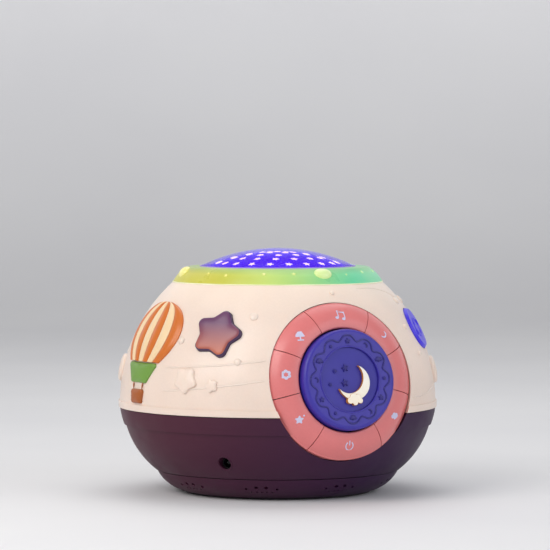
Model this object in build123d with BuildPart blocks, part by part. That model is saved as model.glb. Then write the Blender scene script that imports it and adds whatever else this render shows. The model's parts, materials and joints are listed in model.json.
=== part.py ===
from build123d import *
import os
from math import cos, pi, radians, sin, sqrt

os.makedirs("parts", exist_ok=True)

# Star night light projector, in mm. Z is up, the control panel faces -Y,
# and the origin is the middle of the foot ring's underside. Azimuths are in
# degrees from the panel, positive towards its right-hand side.

# Outer skin: one arc spun about Z, its centre a little past the axis
skin_radius = 87.3
skin_center_r = -2.3
skin_center_z = 48.0
shell_wall = 2.6
seam_z = 45.6
seam_gap = 0.4
ring_seat_z = 112.6
lip_height = 3.4
lip_proud = 0.7
relief_proud = 0.9
relief_root = 0.6
relief_reach = 4.0
relief_bottom_z = 47.0
relief_top_z = 111.0
relief_star_inner = 0.58
relief_star_corner = 0.12
flange_inner_r = 48.0
flange_bottom_z = 107.0
flange_thickness = 2.0

# Raised shapes on the skin: azimuth and height, then size, then lean or height
relief_stars = (
    (-61.4, 64.0, 7.3, 180.0),
    (-50.6, 61.6, 3.6, 20.0),
    (121.0, 66.0, 7.3, 200.0),
    (134.0, 80.0, 3.6, 30.0),
    (-150.0, 84.0, 7.3, 15.0),
)
relief_ovals = ((62.0, 65.6, 7.4, 7.2), (-116.0, 66.5, 7.6, 7.2))
relief_clouds = ((165.0, 74.0, 1.3),)
relief_dots = (
    (-36.8, 97.0, 2.3),
    (-67.0, 84.0, 2.0),
    (-41.4, 74.0, 1.9),
    (42.0, 75.9, 1.6),
    (38.3, 89.9, 1.4),
    (47.5, 103.0, 2.0),
    (62.0, 103.0, 2.6),
    (1.0, 108.5, 1.2),
    (112.0, 88.0, 2.2),
    (148.0, 98.0, 2.0),
    (-132.0, 94.0, 2.0),
    (-165.0, 62.0, 2.0),
)

# Purple bowl
band_bottom_z = 36.4
band_bottom_r = 82.7
band_mid_z = 41.6
band_mid_r = 84.3
band_step = 0.9
bowl_foot_r = 65.8
bowl_foot_z = 12.1
bowl_mid_r = 77.3
bowl_mid_z = 25.5
bowl_wall = 2.4
floor_thickness = 2.4
speaker_hole_r = 26.5
tongue_clearance = 0.3
tongue_wall = 1.6
tongue_height = 4.0
board_pillar_r = 3.0
board_pillar_spots = ((-36.0, -24.0), (-36.0, 24.0), (36.0, -24.0), (36.0, 24.0))

# Base cover and foot ring
cover_gap = 0.4
cover_rim_r = 65.0
cover_mid_r = 58.3
cover_mid_z = 4.0
cover_sole_r = 50.6
cover_sole_z = 0.8
cover_wall = 2.4
foot_outer_r = 50.0
foot_inner_r = 44.0
foot_height = 2.0
vent_radius = 1.0
vent_small_radius = 0.45
vent_clusters = 9
vent_first_azimuth = -34.6
vent_arch = ((-7.7, 7.4, 0.8), (-2.4, 8.4, 1.0), (2.4, 8.4, 1.0), (7.7, 7.4, 0.8))
vent_small_z = 5.4
vent_small_step = 2.6

# Screws that hold the shells, the cover, the deck and the panel
well_circle_r = 60.0
well_top_z = 46.0
well_roof = 3.6
well_outer_r = 5.0
well_bore_r = 3.4
well_azimuths = (-125.0, -70.0, 70.0, 125.0)
well_post_r = 4.0
well_post_length = 14.0
well_pilot = 11.0
rib_height = 10.0
rib_thickness = 2.0
screw_shank_r = 1.5
screw_head_r = 2.8
screw_head_height = 1.8
thread_play = 0.1
cover_screw_circle_r = 39.0
cover_post_r = 3.6
cover_post_height = 8.0
cover_well_r = 4.6
cover_screw_seat_z = 8.0
cover_screw_azimuths = (-110.0, -35.0, 35.0, 110.0)
deck_screw_circle_r = 50.0
deck_post_r = 3.4
deck_tab_r = 3.6
deck_post_height = 5.5
deck_screw_azimuths = (-135.0, -45.0, 45.0, 135.0)
panel_screw_angles = (-100.0, -40.0, 40.0, 100.0)
panel_screw_r = 44.3
panel_screw_shank_r = 1.0
panel_screw_head_r = 1.9
panel_screw_head_height = 1.2
panel_tab_thickness = 1.8
panel_stalk_r = 2.6

# Glow ring and dome
ring_outer_r = 56.3
ring_bottom_z = 112.9
ring_shoulder_r = 53.3
ring_shoulder_z = 117.2
ring_edge_r = 49.4
ring_edge_z = 120.4
ring_top_z = 121.0
ring_wall = 2.4
ring_skirt_r = 51.8
ring_skirt_wall = 2.2
ring_skirt_bottom_z = 109.0
ring_hole_clearance = 0.3
bead_radius = 5.0
bead_circle_r = 49.3
bead_center_z = 115.8
bead_azimuths = (0.5, 101.5, 180.5, 259.5)
dome_radius = 94.0
dome_top_z = 130.7
dome_base_r = 41.6
dome_wall = 1.4
dome_skirt_wall = 2.4
dome_flange_r = 44.5
dome_flange_thickness = 1.6

# Turning star mask, its gear and the motor
mask_gap = 0.7
mask_wall = 1.2
mask_rim_r = 38.5
web_bottom_z = 110.9
web_thickness = 1.5
window_outer_r = 1.95
window_inner_r = 0.88
window_rows = ((0.0, 1), (8.2, 6), (16.2, 10), (24.2, 15), (32.0, 20))
gear_module = 1.2
gear_teeth = 48
pinion_teeth = 8
gear_backlash = 0.7
gear_bottom_z = 106.5
gear_thickness = 3.2
gear_bore_r = 24.0
collar_outer_r = 26.5
running_fit = 0.05
track_bore_r = 20.5
deck_bottom_z = 100.0
deck_thickness = 2.0
deck_wall = 2.2
strap_width = 8.0
strap_length = 36.0
strap_thickness = 1.6
strap_post_x = 14.5
strap_post_r = 2.6
motor_radius = 9.8
motor_bottom_z = 82.0
motor_nose_r = 3.0
shaft_radius = 1.0
shaft_sunk = 1.5

# Lights on the deck and around it
star_board_r = 17.0
star_led_r = 2.4
star_led_circle_r = 4.0
star_led_height = 4.0
cup_foot_r = 9.0
cup_mouth_r = 18.8
cup_height = 9.0
cup_wall = 1.2
ring_board_thickness = 1.2
ring_led_circle_r = 47.0
ring_led_size = 3.2
ring_led_height = 1.3
ring_led_count = 12

# Control panel, a disc square to this axis
panel_tilt = 8.9
panel_center_y = -71.25
panel_center_z = 63.1
key_outer_r = 40.9
pad_outer_r = 26.3
pad_gap = 0.7
key_inner_r = pad_outer_r + pad_gap
key_gap = 0.4
key_inner_h = 7.6
key_crown_h = 5.8
key_outer_h = 1.0
key_shell = 1.7
key_travel = 1.2
key_edges = (-26.0, 28.0, 64.5, 102.0, 148.0, 212.0, 258.0, 295.5, 334.0)
key_names = (
    "key_top",
    "key_upper_right",
    "key_right",
    "key_lower_right",
    "key_bottom",
    "key_lower_left",
    "key_left",
    "key_upper_left",
)
plunger_circle_r = 34.5
plunger_radius = 2.2
plunger_clearance = 0.3
press_slack = 0.3
pad_top_h = 12.2
pad_edge_round = 2.2
pad_stem_r = 4.0
dish_radius = 16.6
dish_depth = 1.0
dish_thickness = 1.6
dish_relief = 0.7
dish_star_r = 2.1
dish_stars = ((-2.2, 5.9), (-2.9, -1.8))
dish_dots = ((-8.1, 4.5, 1.0), (-11.3, -2.3, 0.8))
moon_r = 9.2
moon_spot = (1.8, -1.7)
moon_bite_r = 8.3
moon_bite_spot = (-0.9, 1.0)
moon_height = 1.9
cloud_spot = (1.5, -11.2)
cloud_height = 2.3
dish_clearance = 0.1
hole_clearance = 0.4
opening_depth = 16.0
frame_radius = 40.7
key_skirt_h = -3.6
skirt_slack = 0.1
frame_top_h = key_skirt_h - key_travel - skirt_slack
frame_plate = 1.6
frame_rim = 1.8
board_top_h = -9.5
board_thickness = 1.6
switch_height = 1.5
switch_size = 6.0
switch_tip_r = 1.6
switch_tip_height = 0.4
plunger_tip_h = board_top_h + switch_height + key_travel + press_slack

# Side buttons
star_azimuth = -51.0
star_height = 87.9
star_outer_r = 15.0
star_inner_r = 9.6
star_corner = 3.0
star_lean = -15.5
star_proud = 2.4
star_roof = 2.4
planet_azimuth = 52.5
planet_height = 88.6
planet_radius = 11.9
planet_proud = 0.8
planet_chamfer = 1.2
planet_roof = 2.6
button_skirt = 4.0
button_travel = 1.2
side_board_top_h = -10.4
side_tip_h = side_board_top_h + switch_height + button_travel + press_slack
side_post_x = 18.5
side_post_r = 2.4
side_hole_depth = 9.0
button_wall = 2.2
button_stem_r = 2.0

# Charge socket
jack_azimuth = -48.3
jack_height = 21.0
jack_bore_r = 3.25
jack_collar_r = 5.6
jack_face_r = 69.0
jack_nose_r = 4.0
jack_nose_length = 5.0
jack_nose_fit = 0.15
jack_body_length = 13.0
jack_socket_r = 2.8
jack_pin_r = 0.8
jack_socket_depth = 10.0

# Balloon motif on the left side: a generic inlay of four coloured pieces
balloon_azimuth = -91.0
balloon_height = 77.0
balloon_proud = 2.6
basket_proud = 2.2

# Electronics
main_board_z = 36.0
main_board_size = (78.0, 58.0)
cell_radius = 9.2
cell_length = 65.0
cell_y = 44.0
cell_z = 26.0
holder_wall = 1.2
speaker_flange = 2.0
speaker_rim_r = 31.0
speaker_magnet_r = 14.0
speaker_magnet_z = 20.0
lead_radius = 0.8
cable_radius = 1.2

upright = (Align.CENTER, Align.CENTER, Align.MIN)

panel_normal = Vector(0, -cos(radians(panel_tilt)), sin(radians(panel_tilt)))
panel_plane = Plane(
    origin=(0, panel_center_y, panel_center_z), x_dir=(1, 0, 0), z_dir=panel_normal
)
panel_axis = Axis(origin=(0, panel_center_y, panel_center_z), direction=panel_normal)


def skin_r(z, grow=0.0):
    """Radius of the outer skin at a height, or of its offset."""
    return skin_center_r + sqrt((skin_radius + grow) ** 2 - (z - skin_center_z) ** 2)


def around(radius, azimuth, z=0.0):
    """A point by its distance from Z, its azimuth from the panel and its height."""
    turn = radians(azimuth - 90)
    return Vector(radius * cos(turn), radius * sin(turn), z)


def side_plane(azimuth, z):
    """The plane that lies on the skin at an azimuth and a height, facing out."""
    turn = radians(azimuth - 90)
    rise = (z - skin_center_z) / skin_radius
    flat = sqrt(1 - rise * rise)
    return Plane(
        origin=around(skin_r(z), azimuth, z),
        x_dir=(-sin(turn), cos(turn), 0),
        z_dir=(flat * cos(turn), flat * sin(turn), rise),
    )


def panel_radial_plane(angle):
    """The plane through the panel's axis at a clockwise angle from its top."""
    across = panel_plane.x_dir * sin(radians(angle))
    up = panel_plane.y_dir * cos(radians(angle))
    out = across + up
    return Plane(
        origin=panel_plane.origin, x_dir=out, z_dir=out.cross(panel_normal)
    )


def panel_spot(radius, angle, h=0.0):
    """A point by its place on the panel, the angle clockwise from the top."""
    x = radius * sin(radians(angle))
    y = radius * cos(radians(angle))
    return panel_plane.from_local_coords((x, y, h))


def on_panel(radius, angle, h):
    """A frame on the panel at that spot, square to the panel."""
    return Plane(
        origin=panel_spot(radius, angle, h), x_dir=panel_plane.x_dir, z_dir=panel_normal
    )


def star_points(outer, inner, lean=0.0, points=5):
    """The corners of a star whose first tip points up, turned by lean."""
    corners = []
    for step in range(2 * points):
        reach = outer if step % 2 == 0 else inner
        turn = radians(90 + lean + step * 180 / points)
        corners.append((reach * cos(turn), reach * sin(turn)))
    return corners


def spun(points):
    """A ring or disc spun about Z from its corners in radius and height."""
    with BuildPart() as body:
        with BuildSketch(Plane.XZ):
            with BuildLine():
                Polyline(*points, close=True)
            make_face()
        revolve(axis=Axis.Z)
    return body.part


def skin_layer(low, high, bottom_z, top_z):
    """A spun layer between two offsets of the skin."""
    middle = (bottom_z + top_z) / 2
    with BuildPart() as layer:
        with BuildSketch(Plane.XZ):
            with BuildLine():
                ThreePointArc(
                    (skin_r(bottom_z, high), bottom_z),
                    (skin_r(middle, high), middle),
                    (skin_r(top_z, high), top_z),
                )
                Line((skin_r(top_z, high), top_z), (skin_r(top_z, low), top_z))
                ThreePointArc(
                    (skin_r(top_z, low), top_z),
                    (skin_r(middle, low), middle),
                    (skin_r(bottom_z, low), bottom_z),
                )
                Line((skin_r(bottom_z, low), bottom_z), (skin_r(bottom_z, high), bottom_z))
            make_face()
        revolve(axis=Axis.Z)
    return layer.part


def panel_opening():
    """The round hole that the keys sit in, cut through both shells."""
    with BuildPart() as opening:
        with BuildSketch(panel_plane.offset(-opening_depth)):
            Circle(key_outer_r + hole_clearance)
        extrude(amount=opening_depth + 24)
    return opening.part


def star_block(from_h, to_h, grow):
    """The star button's outline as a straight block, grown all round."""
    corners = star_points(star_outer_r, star_inner_r, star_lean)
    with BuildPart() as block:
        with BuildSketch(side_plane(star_azimuth, star_height).offset(from_h)) as outline:
            Polygon(*corners, align=None)
            fillet(outline.vertices(), radius=star_corner)
            if grow > 0:
                offset(amount=grow)
        extrude(amount=to_h - from_h)
    return block.part


def planet_block(from_h, to_h, grow):
    """The round button's outline as a straight block, grown all round."""
    with BuildPart() as block:
        with BuildSketch(side_plane(planet_azimuth, planet_height).offset(from_h)):
            Circle(planet_radius + grow)
        extrude(amount=to_h - from_h)
    return block.part


def post(place, radius, length):
    """A round post that runs out of a plane along its normal."""
    with BuildPart() as rod:
        with BuildSketch(place):
            Circle(radius)
        extrude(amount=length)
    return rod.part


def ribs(circle_r, azimuths, reach_r, bottom_z, top_z):
    """Radial ribs that tie posts on a circle to the wall outside them."""
    with BuildPart() as set_of_ribs:
        for azimuth in azimuths:
            middle = around((circle_r + reach_r) / 2, azimuth, (bottom_z + top_z) / 2)
            with Locations(Location(middle, (0, 0, azimuth - 90))):
                Box(reach_r - circle_r, rib_thickness, top_z - bottom_z)
    return set_of_ribs.part


def cloud_prism(place, scale):
    """A plain three-lobed cloud as a block that runs through a plane."""
    with BuildPart() as prism:
        with BuildSketch(place.offset(-relief_reach)):
            with Locations((-4.6 * scale, -1.0 * scale)):
                Circle(3.4 * scale)
            with Locations((0.2 * scale, 1.6 * scale)):
                Circle(4.6 * scale)
            with Locations((5.0 * scale, -0.8 * scale)):
                Circle(3.6 * scale)
            with Locations((0.2 * scale, -2.2 * scale)):
                Rectangle(9.0 * scale, 4.4 * scale)
        extrude(amount=2 * relief_reach)
    return prism.part


def star_prism(place, outer, lean):
    """A plump star as a block that runs through a plane."""
    with BuildPart() as prism:
        with BuildSketch(place.offset(-relief_reach)) as outline:
            Polygon(*star_points(outer, outer * relief_star_inner, lean), align=None)
            fillet(outline.vertices(), radius=outer * relief_star_corner)
        extrude(amount=2 * relief_reach)
    return prism.part


def oval_prism(place, across, tall):
    """An oval as a block that runs through a plane."""
    with BuildPart() as prism:
        with BuildSketch(place.offset(-relief_reach)):
            Ellipse(across, tall)
        extrude(amount=2 * relief_reach)
    return prism.part


def shell_relief():
    """The raised stars, ovals and cloud, which follow the skin."""
    layer = skin_layer(-relief_root, relief_proud, relief_bottom_z, relief_top_z)
    shapes = [star_prism(side_plane(azimuth, z), *rest) for azimuth, z, *rest in relief_stars]
    shapes += [oval_prism(side_plane(azimuth, z), *rest) for azimuth, z, *rest in relief_ovals]
    shapes += [cloud_prism(side_plane(azimuth, z), *rest) for azimuth, z, *rest in relief_clouds]
    with BuildPart() as relief:
        for shape in shapes:
            add(shape)
        add(layer, mode=Mode.INTERSECT)
    return relief.part


def shell_dots():
    """Small raised dots on the skin."""
    with BuildPart() as dots:
        for azimuth, z, size in relief_dots:
            place = side_plane(azimuth, z)
            with Locations(place.offset(relief_proud - size)):
                Sphere(size)
    return dots.part


def side_seats():
    """Where the side boards' posts stand, two behind each side button."""
    seats = []
    for azimuth, z in ((star_azimuth, star_height), (planet_azimuth, planet_height)):
        board = side_plane(azimuth, z).offset(side_board_top_h)
        for x in (-side_post_x, side_post_x):
            seats.append(Plane(board.from_local_coords((x, 0, 0)), x_dir=board.x_dir, z_dir=board.z_dir))
    return seats


def shell_stalks():
    """Posts inside the upper shell for the panel and the side boards, trimmed by the skin."""
    outer = skin_layer(-shell_wall * 8, 0.0, seam_z + seam_gap / 2, ring_seat_z)
    with BuildPart() as stalks:
        for angle in panel_screw_angles:
            foot = on_panel(panel_screw_r, angle, board_top_h + panel_tab_thickness)
            add(post(foot, panel_stalk_r, opening_depth))
        for seat in side_seats():
            add(post(seat, side_post_r, 14.0))
        add(outer, mode=Mode.INTERSECT)
    return stalks.part


def make_upper_shell():
    bottom_z = seam_z + seam_gap / 2
    wall = skin_layer(-shell_wall, 0.0, bottom_z, ring_seat_z)
    lip = skin_layer(-relief_root, lip_proud, bottom_z, bottom_z + lip_height)
    flange_top_z = flange_bottom_z + flange_thickness
    flange_r = skin_r(flange_bottom_z + flange_thickness / 2, -shell_wall / 2)
    flange = spun(
        [
            (flange_inner_r, flange_bottom_z),
            (flange_r, flange_bottom_z),
            (flange_r, flange_top_z),
            (flange_inner_r, flange_top_z),
        ]
    )
    relief = shell_relief()
    dots = shell_dots()
    stalks = shell_stalks()
    rib_bottom = seam_z + tongue_height + seam_gap
    rib_reach = skin_r(rib_bottom, -shell_wall / 2)
    rib_set = ribs(well_circle_r, well_azimuths, rib_reach, rib_bottom, rib_bottom + rib_height)
    deck_top_z = deck_bottom_z + deck_thickness
    well_spots = [around(well_circle_r, azimuth, well_top_z) for azimuth in well_azimuths]
    deck_spots = [around(deck_screw_circle_r, azimuth, deck_top_z) for azimuth in deck_screw_azimuths]
    opening = panel_opening()
    star_hole = star_block(-side_hole_depth, side_hole_depth, hole_clearance)
    planet_hole = planet_block(-side_hole_depth, side_hole_depth, hole_clearance)
    with BuildPart() as upper_shell:
        add(wall)
        add([lip, flange])
        add([rib_set, stalks])
        with Locations(*well_spots):
            Cylinder(well_post_r, well_post_length, align=upright)
        with Locations(*deck_spots):
            Cylinder(deck_post_r, deck_post_height, align=upright)
        add([opening, star_hole, planet_hole], mode=Mode.SUBTRACT)
        with Locations(*well_spots):
            Cylinder(screw_shank_r, well_pilot, align=upright, mode=Mode.SUBTRACT)
        with Locations(*deck_spots):
            Cylinder(screw_shank_r, deck_post_height - 1.5, align=upright, mode=Mode.SUBTRACT)
        add([relief, dots])
    return upper_shell.part


def bowl_profile(inset):
    """The bowl's curved side as start, middle and end points, offset inwards."""
    return (
        (bowl_foot_r - inset * 1.25, bowl_foot_z),
        (bowl_mid_r - inset * 1.12, bowl_mid_z),
        (band_bottom_r - band_step - inset, band_bottom_z),
    )


def jack_collar():
    """The boss around the charge socket, trimmed by the bowl's outside."""
    foot, middle, high = bowl_profile(0)
    with BuildPart() as collar:
        with Locations(jack_location(jack_face_r - jack_nose_length)):
            Cylinder(jack_collar_r, 12.0, align=upright)
        with BuildSketch(Plane.XZ):
            with BuildLine():
                ThreePointArc(foot, middle, high)
                Polyline(high, (0, high[1]), (0, foot[1]), foot)
            make_face()
        revolve(axis=Axis.Z, mode=Mode.INTERSECT)
    return collar.part


def bowl_side():
    """The bowl's wall with its band step and the tongue that locates the upper shell."""
    top = seam_z - seam_gap / 2
    tongue_r = skin_r(seam_z, -shell_wall) - tongue_clearance
    tongue_in = tongue_r - tongue_wall
    tongue_top_z = seam_z + tongue_height
    foot, middle, high = bowl_profile(0)
    foot_in, middle_in, high_in = bowl_profile(bowl_wall)
    band_foot = (band_bottom_r, band_bottom_z)
    with BuildPart() as side:
        with BuildSketch(Plane.XZ):
            with BuildLine():
                ThreePointArc(foot, middle, high)
                Line(high, band_foot)
                ThreePointArc(band_foot, (band_mid_r, band_mid_z), (skin_r(top), top))
                Polyline(
                    (skin_r(top), top),
                    (tongue_r, top),
                    (tongue_r, tongue_top_z),
                    (tongue_in, tongue_top_z),
                    (tongue_in, top - 3),
                    high_in,
                )
                ThreePointArc(high_in, middle_in, foot_in)
                Line(foot_in, foot)
            make_face()
        revolve(axis=Axis.Z)
    return side.part


def bowl_floor():
    """The flat floor ring around the speaker's hole."""
    top_z = bowl_foot_z + floor_thickness
    rim_r = bowl_foot_r - 0.2
    return spun(
        [
            (speaker_hole_r, bowl_foot_z),
            (bowl_foot_r - 1.5, bowl_foot_z),
            (rim_r, top_z),
            (speaker_hole_r, top_z),
        ]
    )


def make_lower_shell():
    well_height = well_top_z - bowl_foot_z
    side = bowl_side()
    base = bowl_floor()
    collar = jack_collar()
    opening = panel_opening()
    jack_mouth = jack_location(jack_face_r - jack_nose_length)
    well_spots = [around(well_circle_r, azimuth, bowl_foot_z) for azimuth in well_azimuths]
    cover_spots = [around(cover_screw_circle_r, azimuth, bowl_foot_z) for azimuth in cover_screw_azimuths]
    pillar_spots = [(x, y, bowl_foot_z + 1) for x, y in board_pillar_spots]
    with BuildPart() as lower_shell:
        add(side)
        add(base)
        with Locations(*well_spots):
            Cylinder(well_outer_r, well_height, align=upright)
        with Locations(*cover_spots):
            Cylinder(cover_post_r, cover_post_height, align=upright)
        with Locations(*pillar_spots):
            Cylinder(board_pillar_r, main_board_z - bowl_foot_z - 1, align=upright)
        add(collar)
        add(opening, mode=Mode.SUBTRACT)
        with Locations(*well_spots):
            Cylinder(well_bore_r, well_height - well_roof, align=upright, mode=Mode.SUBTRACT)
            Cylinder(screw_shank_r, well_height, align=upright, mode=Mode.SUBTRACT)
        with Locations(*cover_spots):
            Cylinder(screw_shank_r, cover_post_height - 1.5, align=upright, mode=Mode.SUBTRACT)
        with Locations(jack_mouth):
            Cylinder(jack_bore_r, 30.0, align=upright, mode=Mode.SUBTRACT)
            Cylinder(jack_nose_r + jack_nose_fit, jack_nose_length, align=upright, mode=Mode.SUBTRACT)
    return lower_shell.part


def jack_location(radius):
    """A frame on the socket's axis, whose Z points straight out of the bowl."""
    turn = radians(jack_azimuth - 90)
    return Plane(
        origin=around(radius, jack_azimuth, jack_height),
        x_dir=(-sin(turn), cos(turn), 0),
        z_dir=(cos(turn), sin(turn), 0),
    )


def vent_holes():
    """Clusters of sound holes around the foot band: an arch of four above five tiny ones."""
    cluster_holes = list(vent_arch)
    cluster_holes += [(step * vent_small_step, vent_small_z, 0.0) for step in range(-2, 3)]
    with BuildPart() as holes:
        for cluster in range(vent_clusters):
            center = vent_first_azimuth + cluster * 360 / vent_clusters
            for offset_angle, z, share in cluster_holes:
                turn = radians(center + offset_angle - 90)
                place = Plane(
                    origin=around(51.0 + z * 0.7, center + offset_angle, z + 3),
                    x_dir=(-sin(turn), cos(turn), 0),
                    z_dir=(0.8 * cos(turn), 0.8 * sin(turn), -0.6),
                )
                with BuildSketch(place):
                    Circle(max(vent_radius * share, vent_small_radius))
                extrude(amount=8)
    return holes.part


def make_base_cover():
    top = bowl_foot_z - cover_gap
    rim_in = cover_rim_r - cover_wall * 1.1
    vents = vent_holes()
    groove = make_foot_ring()
    foot_spots = [around(cover_screw_circle_r, azimuth) for azimuth in cover_screw_azimuths]
    well_spots = [spot + Vector(0, 0, cover_sole_z + 1) for spot in foot_spots]
    with BuildPart() as base_cover:
        with BuildSketch(Plane.XZ):
            with BuildLine():
                ThreePointArc((cover_rim_r, top), (cover_mid_r, cover_mid_z), (cover_sole_r, cover_sole_z))
                Line((cover_sole_r, cover_sole_z), (0, cover_sole_z))
                Line((0, cover_sole_z), (0, cover_sole_z + cover_wall))
                Line((0, cover_sole_z + cover_wall), (cover_sole_r - 1, cover_sole_z + cover_wall))
                ThreePointArc(
                    (cover_sole_r - 1, cover_sole_z + cover_wall),
                    (cover_mid_r - cover_wall * 0.75, cover_mid_z + cover_wall * 0.7),
                    (rim_in, top),
                )
                Line((rim_in, top), (cover_rim_r, top))
            make_face()
        revolve(axis=Axis.Z)
        with Locations(*well_spots):
            Cylinder(cover_well_r, bowl_foot_z - cover_sole_z - 1, align=upright)
        with Locations(*foot_spots):
            Cylinder(screw_head_r + hole_clearance, cover_screw_seat_z, align=upright, mode=Mode.SUBTRACT)
            Cylinder(screw_shank_r, bowl_foot_z + 1, align=upright, mode=Mode.SUBTRACT)
        add([groove, vents], mode=Mode.SUBTRACT)
    return base_cover.part


def make_foot_ring():
    with BuildPart() as foot_ring:
        with BuildSketch(Plane.XY):
            Circle(foot_outer_r)
            Circle(foot_inner_r, mode=Mode.SUBTRACT)
        extrude(amount=foot_height)
    return foot_ring.part


def make_light_ring():
    hole_r = dome_base_r + ring_hole_clearance
    under_z = ring_top_z - ring_wall
    skirt_in = ring_skirt_r - ring_skirt_wall
    with BuildPart() as light_ring:
        with BuildSketch(Plane.XZ):
            with BuildLine():
                ThreePointArc(
                    (ring_outer_r, ring_bottom_z),
                    (ring_shoulder_r, ring_shoulder_z),
                    (ring_edge_r, ring_edge_z),
                )
                ThreePointArc(
                    (ring_edge_r, ring_edge_z),
                    (ring_edge_r - 1.3, ring_top_z - 0.14),
                    (ring_edge_r - 3.0, ring_top_z),
                )
                Polyline(
                    (ring_edge_r - 3.0, ring_top_z),
                    (hole_r, ring_top_z),
                    (hole_r, under_z),
                    (46.0, under_z),
                    (skirt_in, ring_bottom_z + 2.6),
                    (skirt_in, ring_skirt_bottom_z),
                    (ring_skirt_r, ring_skirt_bottom_z),
                    (ring_skirt_r, ring_bottom_z),
                    (ring_outer_r, ring_bottom_z),
                )
            make_face()
        revolve(axis=Axis.Z)
        for azimuth in bead_azimuths:
            with Locations(around(bead_circle_r, azimuth, bead_center_z)):
                Sphere(bead_radius)
        add(
            spun(
                [
                    (0, 95.0),
                    (skirt_in, 95.0),
                    (skirt_in, ring_bottom_z + 2.6),
                    (46.0, under_z),
                    (0, under_z),
                ]
            ),
            mode=Mode.SUBTRACT,
        )
    return light_ring.part


def make_dome_cover():
    center_z = dome_top_z - dome_radius
    inner_radius = dome_radius - dome_wall
    edge_z = center_z + sqrt(dome_radius**2 - dome_base_r**2)
    inner_r = dome_base_r - dome_skirt_wall
    inner_z = center_z + sqrt(inner_radius**2 - inner_r**2)
    flange_top = ring_top_z - ring_wall
    flange_bottom = flange_top - dome_flange_thickness
    mid_r = dome_base_r / 2
    with BuildPart() as dome_cover:
        with BuildSketch(Plane.XZ):
            with BuildLine():
                ThreePointArc(
                    (0, dome_top_z),
                    (mid_r, center_z + sqrt(dome_radius**2 - mid_r**2)),
                    (dome_base_r, edge_z),
                )
                Polyline(
                    (dome_base_r, edge_z),
                    (dome_base_r, flange_top),
                    (dome_flange_r, flange_top),
                    (dome_flange_r, flange_bottom),
                    (inner_r, flange_bottom),
                    (inner_r, inner_z),
                )
                ThreePointArc(
                    (inner_r, inner_z),
                    (mid_r, center_z + sqrt(inner_radius**2 - mid_r**2)),
                    (0, center_z + inner_radius),
                )
                Line((0, center_z + inner_radius), (0, dome_top_z))
            make_face()
        revolve(axis=Axis.Z)
    return dome_cover.part


def make_star_mask():
    center_z = dome_top_z - dome_radius
    outer = dome_radius - dome_wall - mask_gap
    inner = outer - mask_wall
    inner_rim = mask_rim_r - mask_wall
    mid_r = mask_rim_r / 2
    with BuildPart() as star_mask:
        with BuildSketch(Plane.XZ):
            with BuildLine():
                ThreePointArc(
                    (0, center_z + outer),
                    (mid_r, center_z + sqrt(outer**2 - mid_r**2)),
                    (mask_rim_r, center_z + sqrt(outer**2 - mask_rim_r**2)),
                )
                Polyline(
                    (mask_rim_r, center_z + sqrt(outer**2 - mask_rim_r**2)),
                    (mask_rim_r, web_bottom_z),
                    (collar_outer_r, web_bottom_z),
                    (collar_outer_r, web_bottom_z + web_thickness),
                    (inner_rim, web_bottom_z + web_thickness),
                    (inner_rim, center_z + sqrt(inner**2 - inner_rim**2)),
                )
                ThreePointArc(
                    (inner_rim, center_z + sqrt(inner**2 - inner_rim**2)),
                    (mid_r, center_z + sqrt(inner**2 - mid_r**2)),
                    (0, center_z + inner),
                )
                Line((0, center_z + inner), (0, center_z + outer))
            make_face()
        revolve(axis=Axis.Z)
        with BuildSketch(Plane.XY.offset(web_bottom_z + 4)):
            for row_r, count in window_rows:
                with PolarLocations(row_r, count, start_angle=row_r * 4):
                    Polygon(*star_points(window_outer_r, window_inner_r), align=None)
        extrude(amount=20, mode=Mode.SUBTRACT)
    return star_mask.part


def tooth_points(root_r, tip_r, pitch_r, teeth, center_angle):
    """One straight-sided tooth, from inside the root to the tip."""
    pitch = 2 * pi * pitch_r / teeth
    half = (pitch / 2 - gear_backlash) / 2
    slope = 0.42
    corners = []
    for side, radius in ((-1, root_r - 0.3), (-1, tip_r), (1, tip_r), (1, root_r - 0.3)):
        width = half + (pitch_r - radius) * slope
        turn = radians(center_angle)
        x = radius * cos(turn) - side * width * sin(turn)
        y = radius * sin(turn) + side * width * cos(turn)
        corners.append((x, y))
    return corners


def make_mask_gear():
    pitch_r = gear_module * gear_teeth / 2
    root_r = pitch_r - 1.2 * gear_module
    tip_r = pitch_r + 0.8 * gear_module
    with BuildPart() as mask_gear:
        with BuildSketch(Plane.XY.offset(gear_bottom_z)):
            Circle(root_r)
            for step in range(gear_teeth):
                angle = 90 + (step + 0.5) * 360 / gear_teeth
                Polygon(*tooth_points(root_r, tip_r, pitch_r, gear_teeth, angle), align=None)
        extrude(amount=gear_thickness)
        with BuildSketch(Plane.XY.offset(gear_bottom_z + gear_thickness)):
            Circle(collar_outer_r)
        extrude(amount=web_bottom_z + web_thickness - gear_bottom_z - gear_thickness)
        with BuildSketch(Plane.XY.offset(gear_bottom_z)):
            Circle(gear_bore_r)
        extrude(amount=10, mode=Mode.SUBTRACT)
    return mask_gear.part


def motor_y():
    """Distance of the motor's axis from the lamp's axis, towards the back."""
    return gear_module * (gear_teeth + pinion_teeth) / 2


def make_drive_pinion():
    pitch_r = gear_module * pinion_teeth / 2
    root_r = pitch_r - 1.2 * gear_module
    tip_r = pitch_r + 0.8 * gear_module
    with BuildPart() as drive_pinion:
        with BuildSketch(Plane.XY.offset(gear_bottom_z - 0.4)):
            with Locations((0, motor_y())):
                Circle(root_r)
            for step in range(pinion_teeth):
                angle = 270 + step * 360 / pinion_teeth
                corners = tooth_points(root_r, tip_r, pitch_r, pinion_teeth, angle)
                Polygon(*[(x, y + motor_y()) for x, y in corners], align=None)
            with Locations((0, motor_y())):
                Circle(shaft_radius, mode=Mode.SUBTRACT)
        extrude(amount=gear_thickness + 0.8)
    return drive_pinion.part


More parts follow.
